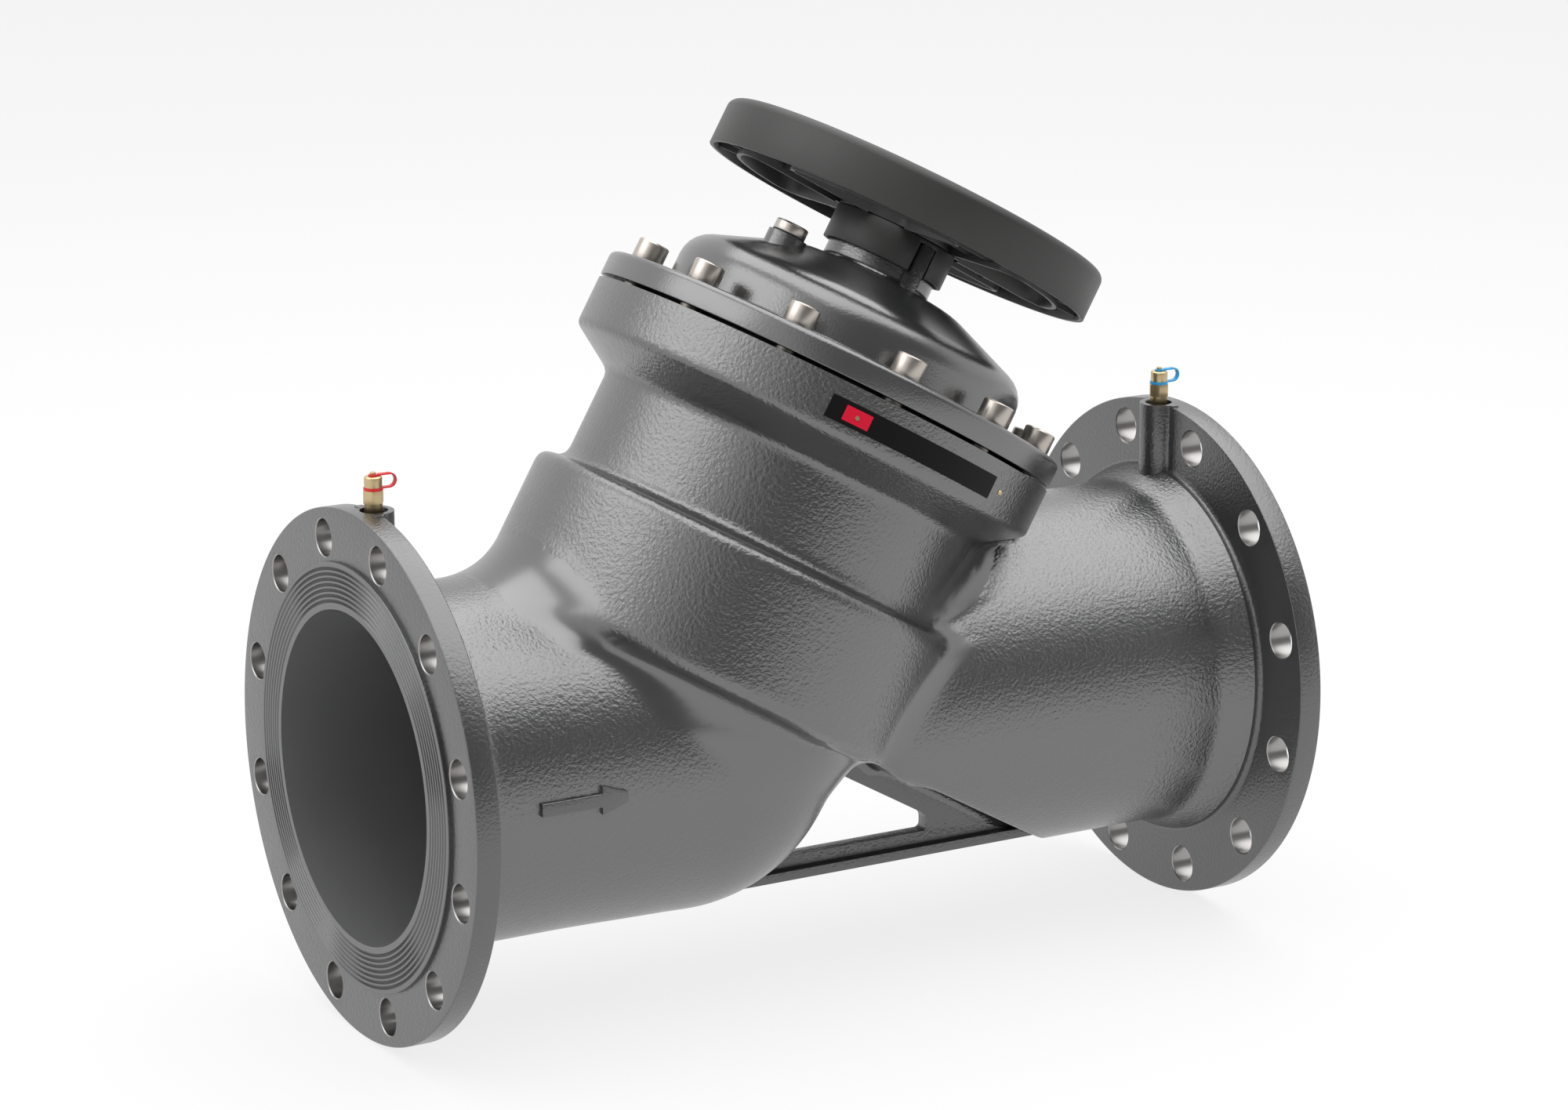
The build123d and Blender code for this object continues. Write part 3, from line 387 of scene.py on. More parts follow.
def lathe(name, outline, axis="X", sweep=360, steps=160):
    """Turn an outline of (along, radius, corner radius) points about one of the two axes."""
    corner_steps = 5
    points = []
    for index, (along, radius, corner) in enumerate(outline):
        here = Vector((along, radius))
        if not corner:
            points.append(here)
            continue
        before = (Vector(outline[index - 1][:2]) - here).normalized()
        after = (Vector(outline[(index + 1) % len(outline)][:2]) - here).normalized()
        half = before.angle(after) / 2
        centre = here + (before + after).normalized() * corner / sin(half)
        first = here + before * corner / tan(half) - centre
        last = here + after * corner / tan(half) - centre
        turn = first.angle_signed(last)
        for step in range(corner_steps + 1):
            points.append(centre + Matrix.Rotation(-turn * step / corner_steps, 2) @ first)
    if axis == "X":
        corners = [(along, 0, radius) for along, radius in points]
    else:
        corners = [(radius, 0, along) for along, radius in points]
    mesh = bpy.data.meshes.new(name)
    mesh.from_pydata(corners, [(i, (i + 1) % len(corners)) for i in range(len(corners))], [])
    piece = bpy.data.objects.new(name, mesh)
    bpy.context.scene.collection.objects.link(piece)
    turned = (1, 0, 0) if axis == "X" else (0, 0, 1)
    start_editing(piece)
    bpy.ops.mesh.spin(steps=steps, angle=radians(sweep), center=(0, 0, 0), axis=turned)
    bpy.ops.mesh.select_all(action="SELECT")
    bpy.ops.mesh.remove_doubles(threshold=0.000005)
    bpy.ops.mesh.normals_make_consistent(inside=False)
    bpy.ops.object.mode_set(mode="OBJECT")
    return lean(piece) if axis == "bonnet" else piece


def joined(name, parts):
    """Join several parts to one mesh."""
    only(parts[0])
    for part in parts[1:]:
        part.select_set(True)
    bpy.ops.object.join()
    parts[0].name = name
    parts[0].data.name = name
    return parts[0]


def window_prism():
    """The window in the web, as a prism through it."""
    slab = block((window_start, -window_depth, window_low), (window_end, window_depth, 0.05))
    cut_off(slab, at_level(window_top), bonnet_up)
    break_edges(slab, window_round, segments=4)
    return slab


def raw_hub(name, end, toward):
    """The hub behind a flange, reaching a little way into its pipe."""
    return lathe(
        name,
        [
            (end + toward * skin_start, 0, 0),
            (end + toward * skin_start, hub_r, 0),
            (end + toward * hub_start, hub_r, 0),
            (end + toward * hub_end, pipe_r, 0),
            (end + toward * hub_overlap, 0, 0),
        ],
        steps=fine_steps,
    )


web_block = block((foot_x, -web_half, web_low), (web_end, web_half, web_rise))
cut_off(web_block, at_level(web_top), bonnet_up)
opening = window_prism()
combine(web_block, opening)
bpy.data.objects.remove(opening)
outlet_bar = cut_off(bar(pipe_r, leg_overlap, skin_end), at_level(deck_level), down)
elbow = ball(elbow_r)
raw_body_flange = [
    (flange_overlap, 0, 0),
    (flange_foot, neck_barrel_r, 0),
    (flange_low, body_flange_r, 0),
    (skin_top, body_flange_r, 0),
    (skin_top, 0, 0),
]
body_skin = joined(
    "body_skin",
    [
        bar(pipe_r, skin_start, foot_x),
        outlet_bar,
        elbow,
        bar(throat_r, throat_overlap, seat_top, "bonnet"),
        bar(barrel_r, deck_level, barrel_top, "bonnet"),
        bar(neck_barrel_r, neck_overlap, skin_top, "bonnet"),
        lathe("body_flange", raw_body_flange, "bonnet", steps=fine_steps),
        raw_hub("inlet_hub", 0, 1),
        raw_hub("outlet_hub", length, -1),
        web_block,
    ],
)
skinned = body_skin.modifiers.new("skin", "REMESH")
skinned.mode = "VOXEL"
skinned.voxel_size = skin_voxel
apply_all(body_skin)

# A form tells, for rows of places, the gap to its surface and the way outwards there
up_axis = np.array(bonnet_up)
foot_place = np.array(foot)
reach_per_radius = 1.42
small_reach = 0.002
saddle_reach = 0.022
saddle_rise = 0.08
saddle_width = 1.6
swell_start = 0.13
swell_length = 0.125
leg_start = 0.3


def along_x(radius, low=-9.0, high=9.0):
    """Round bar on the pipe line, with ball ends."""

    def form(places):
        middle = np.zeros_like(places)
        middle[:, 0] = np.clip(places[:, 0], low, high)
        away = places - middle
        size = np.linalg.norm(away, axis=1)
        return size - radius, away / size[:, None]

    return form


def from_axis(places):
    """Level along the bonnet axis, radius about it, and the way outwards from it."""
    away = places - foot_place
    level = away @ up_axis
    away = away - level[:, None] * up_axis
    radius = np.linalg.norm(away, axis=1)
    return level, radius, away / np.maximum(radius, 1e-9)[:, None]


def leaning_cone(radius, level, slope=0.0):
    """Side of a cone or cylinder about the bonnet axis, through this radius at this level."""

    def form(places):
        height, distance, outwards = from_axis(places)
        gap = (distance - radius) * cos(slope) - (height - level) * sin(slope)
        return gap, outwards * cos(slope) - up_axis * sin(slope)

    return form


def flat(point, outwards):
    """Half of space that ends at this plane."""
    point = np.array(point, float)
    outwards = np.array(outwards, float)
    outwards = outwards / np.linalg.norm(outwards)

    def form(places):
        return (places - point) @ outwards, np.broadcast_to(outwards, places.shape)

    return form


def blend(gap_a, out_a, gap_b, out_b, reach):
    """Gap and way outwards where two forms run into each other within this reach."""
    share = np.clip(0.5 + 0.5 * (gap_b - gap_a) / reach, 0, 1)
    gap = gap_b * (1 - share) + gap_a * share - reach * share * (1 - share)
    out = out_b * (1 - share)[:, None] + out_a * share[:, None]
    size = np.maximum(np.linalg.norm(out, axis=1), 0.3)
    return gap / size, out / size[:, None]


def fused(first, second, radius, least=0.0):
    """Two forms cast into one, with a blend of this radius where they meet at an angle."""

    def form(places):
        gap_a, out_a = first(places)
        gap_b, out_b = second(places)
        crossing = np.clip(1 - np.sum(out_a * out_b, axis=1), 0, 1)
        reach = np.maximum(least + reach_per_radius * radius * crossing, 1e-6)
        return blend(gap_a, out_a, gap_b, out_b, reach)

    return form


def turned_inside_out(form):
    """All of space but this form."""

    def inverse(places):
        gap, out = form(places)
        return -gap, -out

    return inverse


def trimmed(first, second, radius):
    """What two forms have in common, with an edge of this radius."""
    return turned_inside_out(fused(turned_inside_out(first), turned_inside_out(second), radius))


def elbow_and_throat(places):
    """Ball of the elbow below, slightly tapered throat above."""
    height, distance, outwards = from_axis(places)
    away = places - foot_place
    size = np.maximum(np.linalg.norm(away, axis=1), 1e-9)
    upper = distance - elbow_r - (throat_r - elbow_r) * np.clip(height / throat_rise, 0, 1)
    above = height > 0
    gap = np.where(above, upper, size - elbow_r)
    return gap, np.where(above[:, None], outwards, away / size[:, None])


def hub(side, toward):
    """Cone from the crest of a flange's hub down to the pipe."""
    slope = np.arctan2(hub_r - pipe_r, hub_end - hub_start)

    def cone(places):
        across = places[:, 1:]
        radius = np.hypot(places[:, 1], places[:, 2])
        behind = (places[:, 0] - side) * toward - hub_start
        gap = (radius - hub_r) * cos(slope) + behind * sin(slope)
        out = np.empty_like(places)
        out[:, 0] = sin(slope) * toward
        out[:, 1:] = across / radius[:, None] * cos(slope)
        return gap, out

    return cone


def inlet_leg(places):
    """The inlet pipe, swelling by two millimetres where it runs into the elbow."""
    share = np.clip((places[:, 0] - swell_start) / swell_length, 0, 1)
    gap, out = along_x(pipe_r, -9, foot.x)(places)
    return gap - (elbow_r - pipe_r) * share**2 * (3 - 2 * share), out


lower_barrel = trimmed(leaning_cone(barrel_r, 0), flat(at_level(deck_level), down), cast_edge)
lower_barrel = trimmed(lower_barrel, flat(at_level(barrel_top), bonnet_up), cast_edge)
neck_barrel = trimmed(leaning_cone(neck_barrel_r, 0), flat(at_level(0.09), down), sharp_edge)
neck_barrel = trimmed(neck_barrel, flat(at_level(0.294), bonnet_up), sharp_edge)
flange_slope = np.arctan2(body_flange_r - neck_barrel_r, flange_low - flange_foot)
body_flange = trimmed(
    leaning_cone(body_flange_r, 0),
    leaning_cone(neck_barrel_r, flange_foot, flange_slope),
    flange_edge_r,
)
body_flange = trimmed(body_flange, flat(at_level(0.18), down), sharp_edge)
body_flange = trimmed(body_flange, flat(at_level(skin_top), bonnet_up), sharp_edge)
elbow_tower = fused(fused(lower_barrel, neck_barrel, cast_edge), elbow_and_throat, tower_blend)
outlet_leg = trimmed(along_x(pipe_r, leg_start), flat(at_level(deck_level), down), small_edge)

web = trimmed(flat((0, web_half, 0), (0, 1, 0)), flat((0, -web_half, 0), (0, -1, 0)), sharp_edge)
for limit in (
    flat((0, 0, web_low), (0, 0, -1)),
    flat(at_level(web_top), bonnet_up),
    flat((0.25, 0, 0), (-1, 0, 0)),
):
    web = trimmed(web, limit, sharp_edge)
window = trimmed(
    flat((0, 0, window_low - window_margin), (0, 0, -1)),
    flat(at_level(window_top + window_margin), bonnet_up),
    small_edge,
)
window = trimmed(window, flat((window_end + window_margin, 0, 0), (1, 0, 0)), small_edge)
web = trimmed(web, turned_inside_out(window), web_edge)


def inlet_side(places):
    """Tower and inlet pipe, cast together in a saddle that is wide on top and runs out below."""
    over = np.clip(places[:, 2] / saddle_rise, 0, 1)
    on_top = np.clip(saddle_width - np.abs(places[:, 1]) / saddle_rise, 0, 1)
    reach = small_reach + saddle_reach * over**2 * (3 - 2 * over) + inlet_blend * on_top * over
    return blend(*elbow_tower(places), *inlet_leg(places), reach)


whole_body = fused(inlet_side, outlet_leg, outlet_blend, small_reach)
whole_body = fused(whole_body, body_flange, flange_blend)
for side, toward in ((0, 1), (length, -1)):
    whole_body = fused(whole_body, hub(side, toward), cast_edge, 0.001)
whole_body = fused(whole_body, web, web_blend)
whole_body = trimmed(whole_body, flat((skin_start, 0, 0), (-1, 0, 0)), sharp_edge)
whole_body = trimmed(whole_body, flat((skin_end, 0, 0), (1, 0, 0)), sharp_edge)


def places_of(piece):
    """The places of a mesh's points, a row each."""
    places = np.empty(len(piece.data.vertices) * 3)
    piece.data.vertices.foreach_get("co", places)
    return places.reshape(-1, 3)


def cast_onto(piece, surface, rounds):
    """Move a skin's points onto a cast surface, evening out the mesh between the moves."""
    longest_move = 0.003
    moves = 3
    last_moves = 8
    for last in [False] * rounds + [True]:
        points = places_of(piece)
        for _ in range(last_moves if last else moves):
            gap, out = surface(points)
            points -= np.clip(gap, -longest_move, longest_move)[:, None] * out
        piece.data.vertices.foreach_set("co", points.ravel())
        piece.data.update()
        if not last:
            smoothed(piece, iterations=3)


def leg_gaps(places):
    """Gaps to the two legs and the tower, the nearest first: both are small in a fillet."""
    return np.sort([form(places)[0] for form in (inlet_leg, elbow_tower, outlet_leg)], axis=0)


cast_onto(body_skin, whole_body, rounds=4)
places = places_of(body_skin)
gaps = leg_gaps(places)
in_fillet = (gaps[0] > 0.0003) & (gaps[1] < 0.024) & (places[:, 2] > -0.125)
fillets = body_skin.vertex_groups.new(name="fillets")
fillets.add([int(index) for index in np.flatnonzero(in_fillet)], 1.0, "REPLACE")
smoothed(body_skin, iterations=12, group="fillets")
smoothed(body_skin, iterations=2)

# Inside, the core leaves the two passages, the throat under the seat and the valve chamber
throat = lathe(
    "throat",
    [
        (0, 0, 0),
        (0, pool_r, 0),
        (throat_rise, throat_bore_r, 0),
        (seat_low, throat_bore_r, 0),
        (seat_low, seat_bore_r, 0),
        (seat_top, seat_bore_r, 0),
        (seat_top, chamber_r, 0),
        (chamber_top, chamber_r, 0),
        (barrel_top, mouth_r, 0),
        (core_top, mouth_r, 0),
        (core_top, 0, 0),
    ],
    "bonnet",
    steps=120,
)
pool = ball(pool_r)
inlet_core = cut_off(bar(bore_r, 0.010, foot_x), at_level(seat_low), bonnet_up)
outlet_core = cut_off(bar(bore_r, foot_x, 0.72), at_level(seat_top), down)
end_cut_r = 0.2
joint_cut_r = 0.195
inlet_end = bar(end_cut_r, -0.02, hub_start)
outlet_end = bar(end_cut_r, length - hub_start, 0.75)
joint_face = bar(joint_cut_r, body_top, 0.31, "bonnet")
for core in (inlet_end, outlet_end, joint_face, throat, pool, inlet_core, outlet_core):
    combine(body_skin, core)
for core in (inlet_end, outlet_end, joint_face, inlet_core):
    bpy.data.objects.remove(core)
only(body_skin)
bpy.ops.object.shade_smooth_by_angle(angle=radians(62))

# Fillets and bores are smoother than the rest of the skin
fillet_gap = 0.0012
fillet_width = 0.026
fillet_low = -0.12
fillet_peel = 0.92
bore_peel = 0.06
places = places_of(body_skin)
gaps = leg_gaps(places)
near = (gaps[1] < fillet_width) * (places[:, 2] > fillet_low)
smooth_share = np.clip(gaps[0] / fillet_gap, 0, 1) * near
in_bore = (np.hypot(places[:, 1], places[:, 2]) < 0.1262) & (places[:, 0] < 0.3)
peel = np.where(in_bore, bore_peel, 1 - fillet_peel * smooth_share)
mesh = body_skin.data
shown = mesh.attributes.new("peel", "FLOAT", "POINT")
shown.data.foreach_set("value", peel.astype(np.float32))
grey_enamel = enamel(
    "grey_enamel", iron_grey, roughness=0.23, grain=0.0027, bump=0.0006, ior=2.3, peel="peel"
)
# The bore enamel is painted much lighter than the body's enamel: painted light standing in for the
# light that reaches into the bores.
painted_light_bore_enamel = enamel(
    "painted_light_bore_enamel", (0.16, 0.161, 0.163), roughness=0.35, grain=0.009, bump=0.00002, ior=1.6
)
mesh.materials.clear()
mesh.materials.append(grey_enamel)
mesh.materials.append(painted_light_bore_enamel)
# The inlet bore takes the lighter bore enamel, painted light inside the bore.
for polygon in mesh.polygons:
    across = hypot(polygon.center.y, polygon.center.z)
    polygon.material_index = int(across < bore_r + 0.0005 and polygon.center.x < foot.x + 0.05)
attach(body_skin, "casing")
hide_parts("valve_body")

# Web rib: the thin web under the body and the foot bar along its lower edge, cast in one with
# the body in the same iron and enamel, but with squarer edges than the rest of the casting.
rib_half = 0.0063
rib_start = 0.262
rib_low = -0.1325
rib_top = 0.053
foot_bar_half = 0.015
foot_bar_low = -0.136
foot_bar_top = -0.1285
foot_bar_end = 0.62
web_rib = block((rib_start, -rib_half, rib_low), (web_end, rib_half, web_rise))
cut_off(web_rib, at_level(rib_top), bonnet_up)
web_rib.name = "web_rib"
foot_bar = block(
    (rib_start, -foot_bar_half, foot_bar_low), (foot_bar_end, foot_bar_half, foot_bar_top)
)
cut_off(foot_bar, at_level(rib_top), bonnet_up)
combine(web_rib, foot_bar, "UNION")
window_core = window_prism()
for core in (window_core, throat, pool, outlet_core):
    combine(web_rib, core)
for core in (foot_bar, window_core, throat, pool, outlet_core):
    bpy.data.objects.remove(core)
break_edges(web_rib, width=0.0012, segments=3, angle=50)
bpy.ops.object.shade_smooth_by_angle(angle=radians(45))
flange_enamel = enamel(
    "flange_enamel", iron_grey, roughness=0.25, grain=0.0024, bump=0.00045, ior=2.05
)
web_rib.data.materials.append(flange_enamel)
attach(web_rib, "casing")

# Flanges: the drilled plates at both ends of the casting. Their sealing faces are turned with
# concentric grooves, and the bolt holes are drilled through the enamel to bare metal.
flange_r = 0.200
plate_thickness = 0.022
face_r = 0.160
face_height = 0.003
face_chamfer = 0.0005
flange_edge = 0.0012
groove_first = 0.1298
groove_pitch = 0.0040
groove_count = 7
groove_depth = 0.0018
groove_side = 0.75 * groove_depth
groove_shape = (
    (0, 0),
    (groove_side, 0.0006),
    (groove_depth, 0.0013),
    (groove_side, 0.0020),
    (0, 0.0026),
)
bolt_count = 12
bolt_circle_r = 0.1775
bolt_hole_r = 0.014
drill_chamfer = 0.0027
drill_over = 0.002
drill_lip = 0.0007
tapping_x = 0.0225
tapping_r = 0.0105
boss_r = 0.015
boss_root_r = 0.004
boss_low = 0.128
face_metal = enamel(
    "turned_face", (0.035, 0.0355, 0.036), roughness=0.2, grain=0.0012, bump=0.00002, ior=2.0
)


def metal(name, colour, roughness, grain, bump):
    """Plain metal with fine tool marks."""
    finish = enamel(name, colour, roughness, grain, bump)
    finish.node_tree.nodes["Principled BSDF"].inputs["Metallic"].default_value = 1
    return finish


def hole_angle(hole):
    """Where a hole stands on its circle, the first pair on either side of the middle."""
    return radians(180 / bolt_count + 360 / bolt_count * hole)


def prism(name, outline, rise):
    """A flat outline, drawn out this far."""
    mesh = bpy.data.meshes.new(name)
    mesh.from_pydata(outline, [], [tuple(range(len(outline)))])
    piece = bpy.data.objects.new(name, mesh)
    bpy.context.scene.collection.objects.link(piece)
    start_editing(piece)
    bpy.ops.mesh.extrude_region_move(TRANSFORM_OT_translate={"value": rise})
    bpy.ops.mesh.select_all(action="SELECT")
    bpy.ops.mesh.normals_make_consistent(inside=False)
    bpy.ops.object.mode_set(mode="OBJECT")
    return piece


# Half of the outline of a tapping boss: the root against the plate's back, then the round
root_x = plate_thickness + boss_root_r
root_y = sqrt((boss_r + boss_root_r) ** 2 - (root_x - tapping_x) ** 2)
boss_centre = Vector((tapping_x, 0))
touch = boss_centre + (Vector((root_x, root_y)) - boss_centre) * boss_r / (boss_r + boss_root_r)
meet = np.arctan2(touch.y, touch.x - tapping_x)
root_end = np.arctan2(touch.y - root_y, touch.x - root_x)
boss_half = [(plate_thickness - 0.006, root_y)]
for step in range(7):
    turn = -pi + (root_end + pi) * step / 6
    boss_half.append((root_x + boss_root_r * cos(turn), root_y + boss_root_r * sin(turn)))
for step in range(1, 16):
    turn = meet * (1 - step / 16)
    boss_half.append((tapping_x + boss_r * cos(turn), boss_r * sin(turn)))
boss_half.append((tapping_x + boss_r, 0))
boss_outline = boss_half + [(x, -y) for x, y in reversed(boss_half[:-1])]

bare_metal = metal("drilled_iron", (0.36, 0.35, 0.34), roughness=0.3, grain=0.0006, bump=0.00002)
for side, face_x, toward in (("inlet", 0.0, 1), ("outlet", length, -1)):
    face = [(0, bore_r, 0), (0, groove_first - 0.001, 0)]
    for groove in range(groove_count):
        at = groove_first + groove * groove_pitch
        face += [(depth, at + across, 0) for depth, across in groove_shape]
    face += [
        (0, face_r - face_chamfer, 0),
        (face_chamfer, face_r, 0),
        (face_height, face_r, 0),
        (face_height, flange_r, flange_edge),
        (plate_thickness, flange_r, flange_edge),
        (plate_thickness, hub_r, 0.004),
        (hub_start, hub_r, 0),
        (hub_start, bore_r, 0),
    ]
    plate = lathe(
        f"{side}_flange", [(face_x + toward * x, r, corner) for x, r, corner in face], steps=192
    )
    for finish in (flange_enamel, face_metal, painted_light_bore_enamel, bare_metal):
        plate.data.materials.append(finish)
    for polygon in plate.data.polygons:
        depth = (polygon.center.x - face_x) * toward
        out = hypot(polygon.center.y, polygon.center.z)
        # The flange bore takes the lighter bore enamel, painted light inside the bore.
        if out < bore_r + 0.0002:
            polygon.material_index = 2
        elif depth < groove_depth + 0.0003 and out < face_r - 0.0004:
            polygon.material_index = 1
    drills = []
    for hole in range(bolt_count):
        angle = hole_angle(hole)
        drill_outline = [
            (face_height - drill_over, 0),
            (face_height - drill_over, bolt_hole_r + drill_chamfer),
            (face_height + drill_lip, bolt_hole_r),
            (plate_thickness - drill_lip, bolt_hole_r),
            (plate_thickness + drill_over, bolt_hole_r + drill_chamfer),
            (plate_thickness + drill_over, 0),
        ]
        drill = lathe("drill", [(face_x + toward * x, r, 0) for x, r in drill_outline], steps=48)
        drill.location = (0, bolt_circle_r * cos(angle), bolt_circle_r * sin(angle))
        set_down(drill)
        drills.append(drill)
    drills = joined("drills", drills)
    drills.data.materials.append(bare_metal)
    combine(plate, drills, materials="TRANSFER")
    recess = bar(tapping_r, 0.192, 0.215, "Z")
    recess.location = (face_x + toward * tapping_x, 0, 0)
    set_down(recess)
    combine(plate, recess)
    bpy.ops.object.shade_smooth_by_angle(angle=radians(35))

    # Tapping boss: a half-round column cast on the back of the flange, with a small root radius
    boss = prism(
        f"{side}_tapping_boss",
        [(face_x + toward * x, y, boss_low) for x, y in boss_outline],
        (0, 0, flange_r - boss_low),
    )
    combine(boss, recess)
    break_edges(boss, width=0.0005, segments=2, angle=50)
    bpy.ops.object.shade_smooth_by_angle(angle=radians(40))
    boss.data.materials.append(flange_enamel)
    bpy.data.objects.remove(drills)
    bpy.data.objects.remove(recess)
    for piece in (plate, boss):
        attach(piece, "casing")

# Flow arrow: a plain arrow that points with the flow, cast on the side of the inlet leg in one
# with the body, with a flat top and softly rounded edges.
arrow_tail = 0.085
arrow_neck = 0.134
arrow_tip = 0.155
arrow_half = 0.005
arrow_head_half = 0.011
arrow_tip_half = 0.0042
arrow_root = -0.127
arrow_rise = 0.0124
arrow_side = [
    (arrow_tail, -arrow_half),
    (arrow_neck, -arrow_half),
    (arrow_neck, -arrow_head_half),
    (arrow_tip, -arrow_tip_half),
]
arrow_outline = arrow_side + [(x, -z) for x, z in reversed(arrow_side)]
flow_arrow = prism(
    "flow_arrow", [(x, arrow_root, z) for x, z in arrow_outline], (0, -arrow_rise, 0)
)
break_edges(flow_arrow, width=0.0009, segments=3)
bpy.ops.object.shade_smooth_by_angle(angle=radians(40))
flow_arrow.data.materials.append(flange_enamel)
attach(flow_arrow, "casing")

# Bonnet: a cast iron lid with a domed crown, a neck for the spindle, a lug that keeps the
# indicator collar from turning and a boss for the vent plug, in the same enamel as the body.
lid_low = 0.291
lid_top = 0.3103
spigot_low = 0.280
spigot_r = 0.1388
dome_r = 0.141
dome_shoulder = 0.3475
dome_wall = 0.0115
dome_bore_r = 0.1295
crown_r = 0.066
crown = 0.377
neck_r = 0.0435
neck_top = 0.412
neck_bore_r = 0.024
lug_half = 0.005
lug_in = 0.036
lug_out = 0.0525
lug_low = 0.371
lug_top = 0.4135
vent_x = -0.0854
vent_boss_r = 0.0154
vent_low = 0.352
vent_top = 0.375
screw_circle_r = 0.1665
screw_hole_r = 0.009
bonnet = lathe(
    "bonnet_casting",
    [
        (spigot_low, 0.110, 0),
        (spigot_low, spigot_r, 0),
        (lid_low, spigot_r, 0),
        (lid_low, body_flange_r, 0.0008),
        (lid_top, body_flange_r, 0.0045),
        (lid_top, dome_r, 0.004),
        (dome_shoulder, dome_r, 0.024),
        (crown, crown_r, 0.060),
        (crown, neck_r, 0.005),
        (neck_top, neck_r, 0.0006),
        (neck_top, neck_bore_r, 0),
        (crown - dome_wall, neck_bore_r, 0),
        (crown - dome_wall, crown_r, 0),
        (dome_shoulder - dome_wall, dome_bore_r, 0),
        (lid_top - 0.015, dome_bore_r, 0),
    ],
    "bonnet",
    steps=192,
)
lug = lean(block((-lug_half, -lug_out, lug_low), (lug_half, -lug_in, lug_top)))
vent_boss = bar(vent_boss_r, vent_low, vent_top, "Z")
vent_boss.location = (vent_x, 0, 0)
set_down(vent_boss)
lean(vent_boss)
for part in (lug, vent_boss):
    combine(bonnet, part, "UNION")
    bpy.data.objects.remove(part)
drills = []
for hole in range(bolt_count):
    angle = hole_angle(hole)
    drill = bar(screw_hole_r, 0.285, 0.32, "Z")
    drill.location = (screw_circle_r * cos(angle), screw_circle_r * sin(angle), 0)
    set_down(drill)
    drills.append(lean(drill))
drills = joined("drills", drills)
combine(bonnet, drills)
bpy.data.objects.remove(drills)
break_edges(bonnet, width=0.0011, segments=3, angle=35)
bpy.ops.object.shade_smooth_by_angle(angle=radians(50))
bonnet_enamel = enamel(
    "bonnet_enamel", iron_grey, roughness=0.22, grain=0.0018, bump=0.00016, ior=2.3
)
bonnet.data.materials.append(bonnet_enamel)
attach(bonnet, "casing")
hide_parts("bonnet")

# Bonnet gasket: a flat ring of black fibre sheet, set back in the gap between the body flange
# and the lid and squeezed by the bonnet screws.
gasket_black = enamel("gasket_black", (0.02, 0.02, 0.02), roughness=0.7, grain=0.001, bump=0.00005)


def dress(name, finish):
    """Give a CAD node this material."""
    nodes[name].data.materials.clear()
    nodes[name].data.materials.append(finish)


dress("bonnet_gasket", gasket_black)

# Bonnet screws: twelve hexagon-socket screws in plain steel that go through the lid into the
# body flange and hold it down.
screw_steel = metal("screw_steel", (0.5, 0.46, 0.42), roughness=0.3, grain=0.0008, bump=0.00002)


def softened(name, width):
    """A CAD node's shape with its doubles merged and its edges broken, as its own piece."""
    node = nodes[name]
    piece = node.copy()
    piece.data = node.data.copy()
    piece.parent = None
    for key in [key for key in piece.keys() if key.startswith("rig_")]:
        del piece[key]
    piece.name = f"{name}_piece"
    bpy.context.scene.collection.objects.link(piece)
    only(piece)
    bpy.ops.mesh.customdata_custom_splitnormals_clear()
    start_editing(piece)
    bpy.ops.mesh.remove_doubles(threshold=0.00001)
    bpy.ops.mesh.dissolve_limited(angle_limit=radians(0.5))
    bpy.ops.object.mode_set(mode="OBJECT")
    break_edges(piece, width, segments=2)
    bpy.ops.object.shade_smooth_by_angle(angle=radians(30))
    piece.data.materials.clear()
    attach(piece, node["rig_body"])
    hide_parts(name)
    return piece


bonnet_screws = softened("bonnet_screws", width=0.0003)
bonnet_screws.data.materials.append(screw_steel)

# Vent plug: a steel plug screwed into its boss on the shoulder of the dome, seated on a ring
# of black rubber. The seals of the spindle and the cone are of the same rubber.
vent_plug = softened("vent_plug", width=0.0003)
vent_plug.data.materials.append(screw_steel)
rubber_black = enamel(
    "rubber_black", (0.018, 0.018, 0.018), roughness=0.6, grain=0.001, bump=0.00003
)
for name in ("vent_seal", "stem_seals", "cone_seal"):
    dress(name, rubber_black)

# Indicator collar: a skirt moulded in black plastic, pushed over the neck of the bonnet. Its
# slot sits over the lug, so that it stays put while the wheel turns above it.
moulded_black = enamel(
    "moulded_black", (0.028, 0.028, 0.027), roughness=0.45, grain=0.0011, bump=0.0001, ior=1.5
)
indicator_collar = softened("indicator_collar", width=0.0004)
indicator_collar.data.materials.append(moulded_black)

# Handwheel: one moulding in glass-filled black plastic with a fine matt grain, open below,
# with four channel spokes and a ribbed rim. A flat cover closes its hub.
handwheel = softened("handwheel", width=0.0007)
handwheel.data.materials.append(moulded_black)
hub_cover = softened("hub_cover", width=0.0004)
hub_cover.data.materials.append(moulded_black)

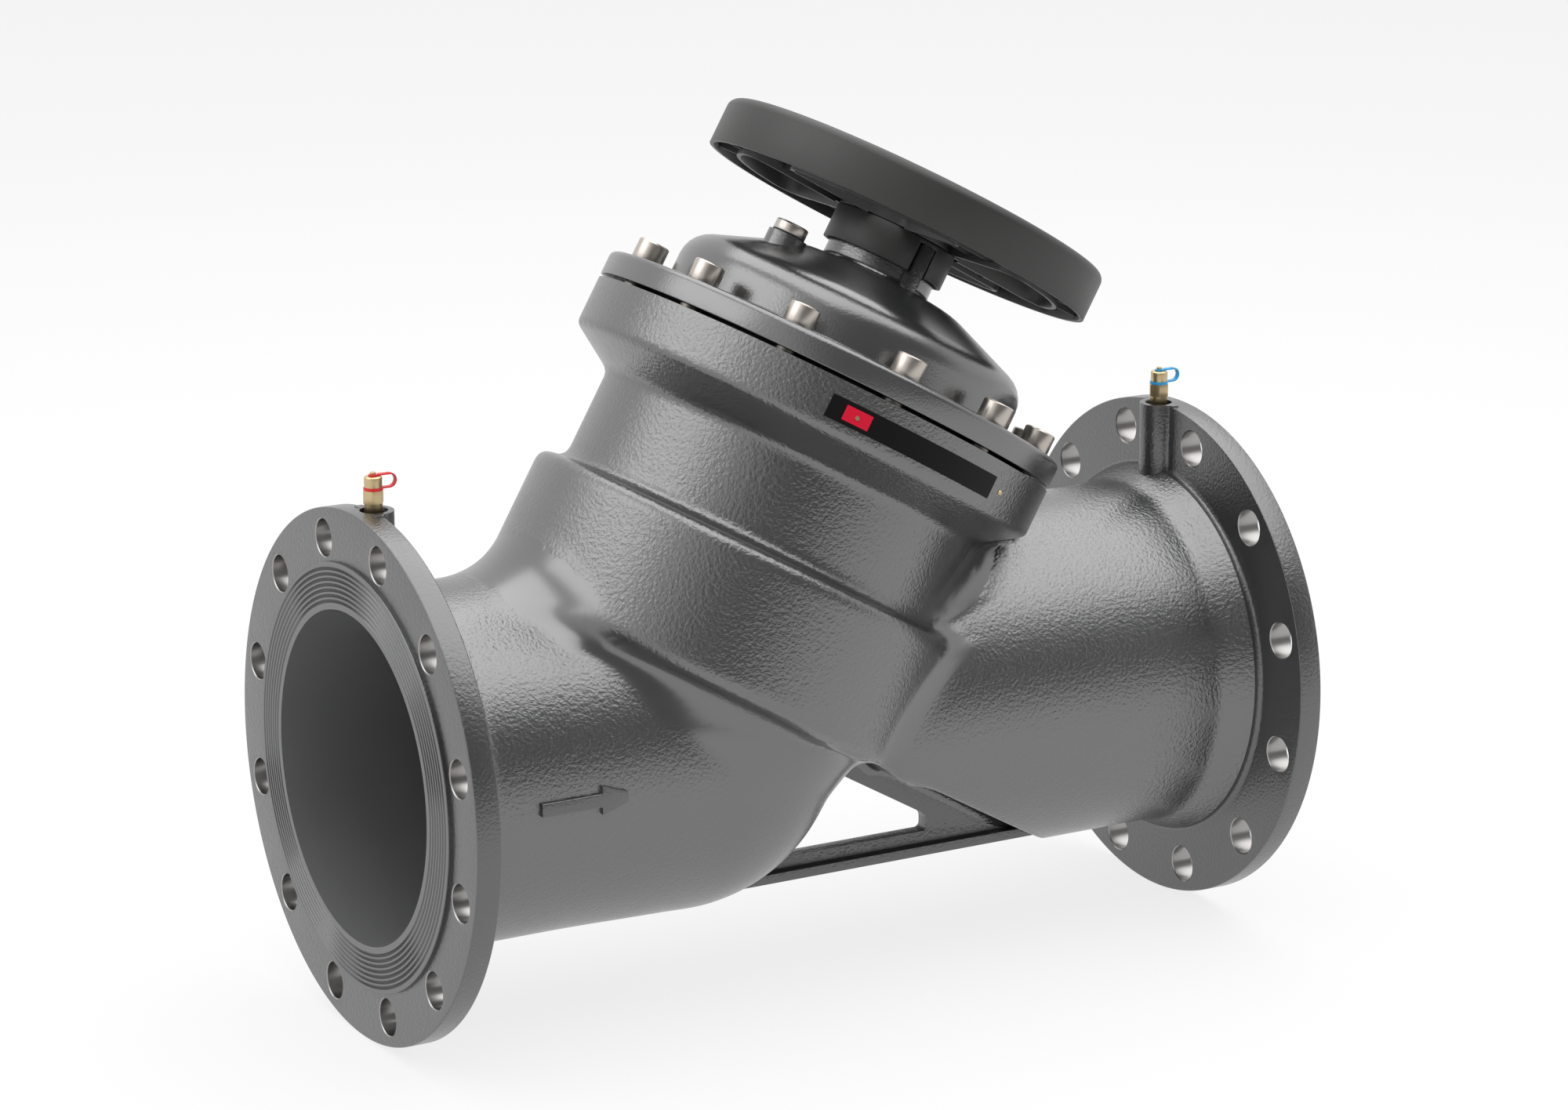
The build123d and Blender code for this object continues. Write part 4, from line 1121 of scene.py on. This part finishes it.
# Nameplate: a black metal strip rolled round the body flange, left bare but for a plain red
# field, and held by two brass drive rivets.
field_low = 0.2618
field_high = 0.2732
field_inner_r = 0.1888
field_outer_r = 0.18897
field_sweep = 6.4
field_angle = -19.5
plate_black = enamel(
    "plate_black", (0.004, 0.004, 0.004), roughness=0.45, grain=0.002, bump=0.00001, ior=1.25
)
field_red = enamel(
    "field_red", (0.62, 0.008, 0.035), roughness=0.45, grain=0.002, bump=0.00001, ior=1.25
)
brass = metal("brass", (0.6, 0.47, 0.27), roughness=0.38, grain=0.0009, bump=0.00003)
dress("nameplate", plate_black)
plate_field = lathe(
    "plate_field",
    [
        (field_low, field_inner_r, 0),
        (field_low, field_outer_r, 0),
        (field_high, field_outer_r, 0),
        (field_high, field_inner_r, 0),
    ],
    "Z",
    sweep=field_sweep,
    steps=12,
)
start_editing(plate_field)
bpy.ops.mesh.fill_holes(sides=0)
bpy.ops.mesh.normals_make_consistent(inside=False)
bpy.ops.object.mode_set(mode="OBJECT")
plate_field.matrix_world = Matrix.Rotation(radians(field_angle - 90), 4, "Z")
set_down(plate_field)
lean(plate_field)
plate_field.data.materials.append(field_red)
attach(plate_field, "casing")

# Test plugs: brass nipples screwed into the tapping bosses, with turned caps kept by moulded
# loops of coloured plastic, red at the inlet and blue at the outlet.
strap_red = enamel("strap_red", (0.72, 0.012, 0.02), roughness=0.38, grain=0.003, bump=0.00001)
strap_blue = enamel("strap_blue", (0.012, 0.36, 0.75), roughness=0.38, grain=0.003, bump=0.00001)
plug_edges = {"test_nipple": 0.0003, "test_cap": 0.0002, "cap_pin": 0.0002}
for side, strap_finish, strap_slot in (
    ("inlet", strap_red, "red_strap"),
    ("outlet", strap_blue, "blue_strap"),
):
    for part, width in plug_edges.items():
        piece = softened(f"{side}_{part}", width)
        piece.data.materials.append(brass)
    strap = softened(f"{side}_test_strap", width=0.0003)
    strap.data.materials.append(strap_finish)
    dress(f"{side}_test_core", rubber_black)

# Inner works: stainless seat, spindle and keys, the enamelled cone with its cage and screws,
# and the brass nuts, bush and washers that carry the spindle.
stainless = metal("stainless", (0.6, 0.59, 0.57), roughness=0.28, grain=0.0007, bump=0.00002)
cone_enamel = enamel("cone_enamel", (0.11, 0.11, 0.11), roughness=0.45, grain=0.004, bump=0.0003)
for finish, names in (
    (stainless, ("seat_ring", "spindle", "guide_keys", "wheel_key", "nut_circlip")),
    (cone_enamel, ("cone", "throttle_cage")),
    (screw_steel, ("cage_screws", "wheel_washer", "wheel_screw")),
    (brass, ("spindle_nut", "gland_nut", "stem_bush", "thrust_washers", "nameplate_rivets")),
):
    for name in names:
        dress(name, finish)
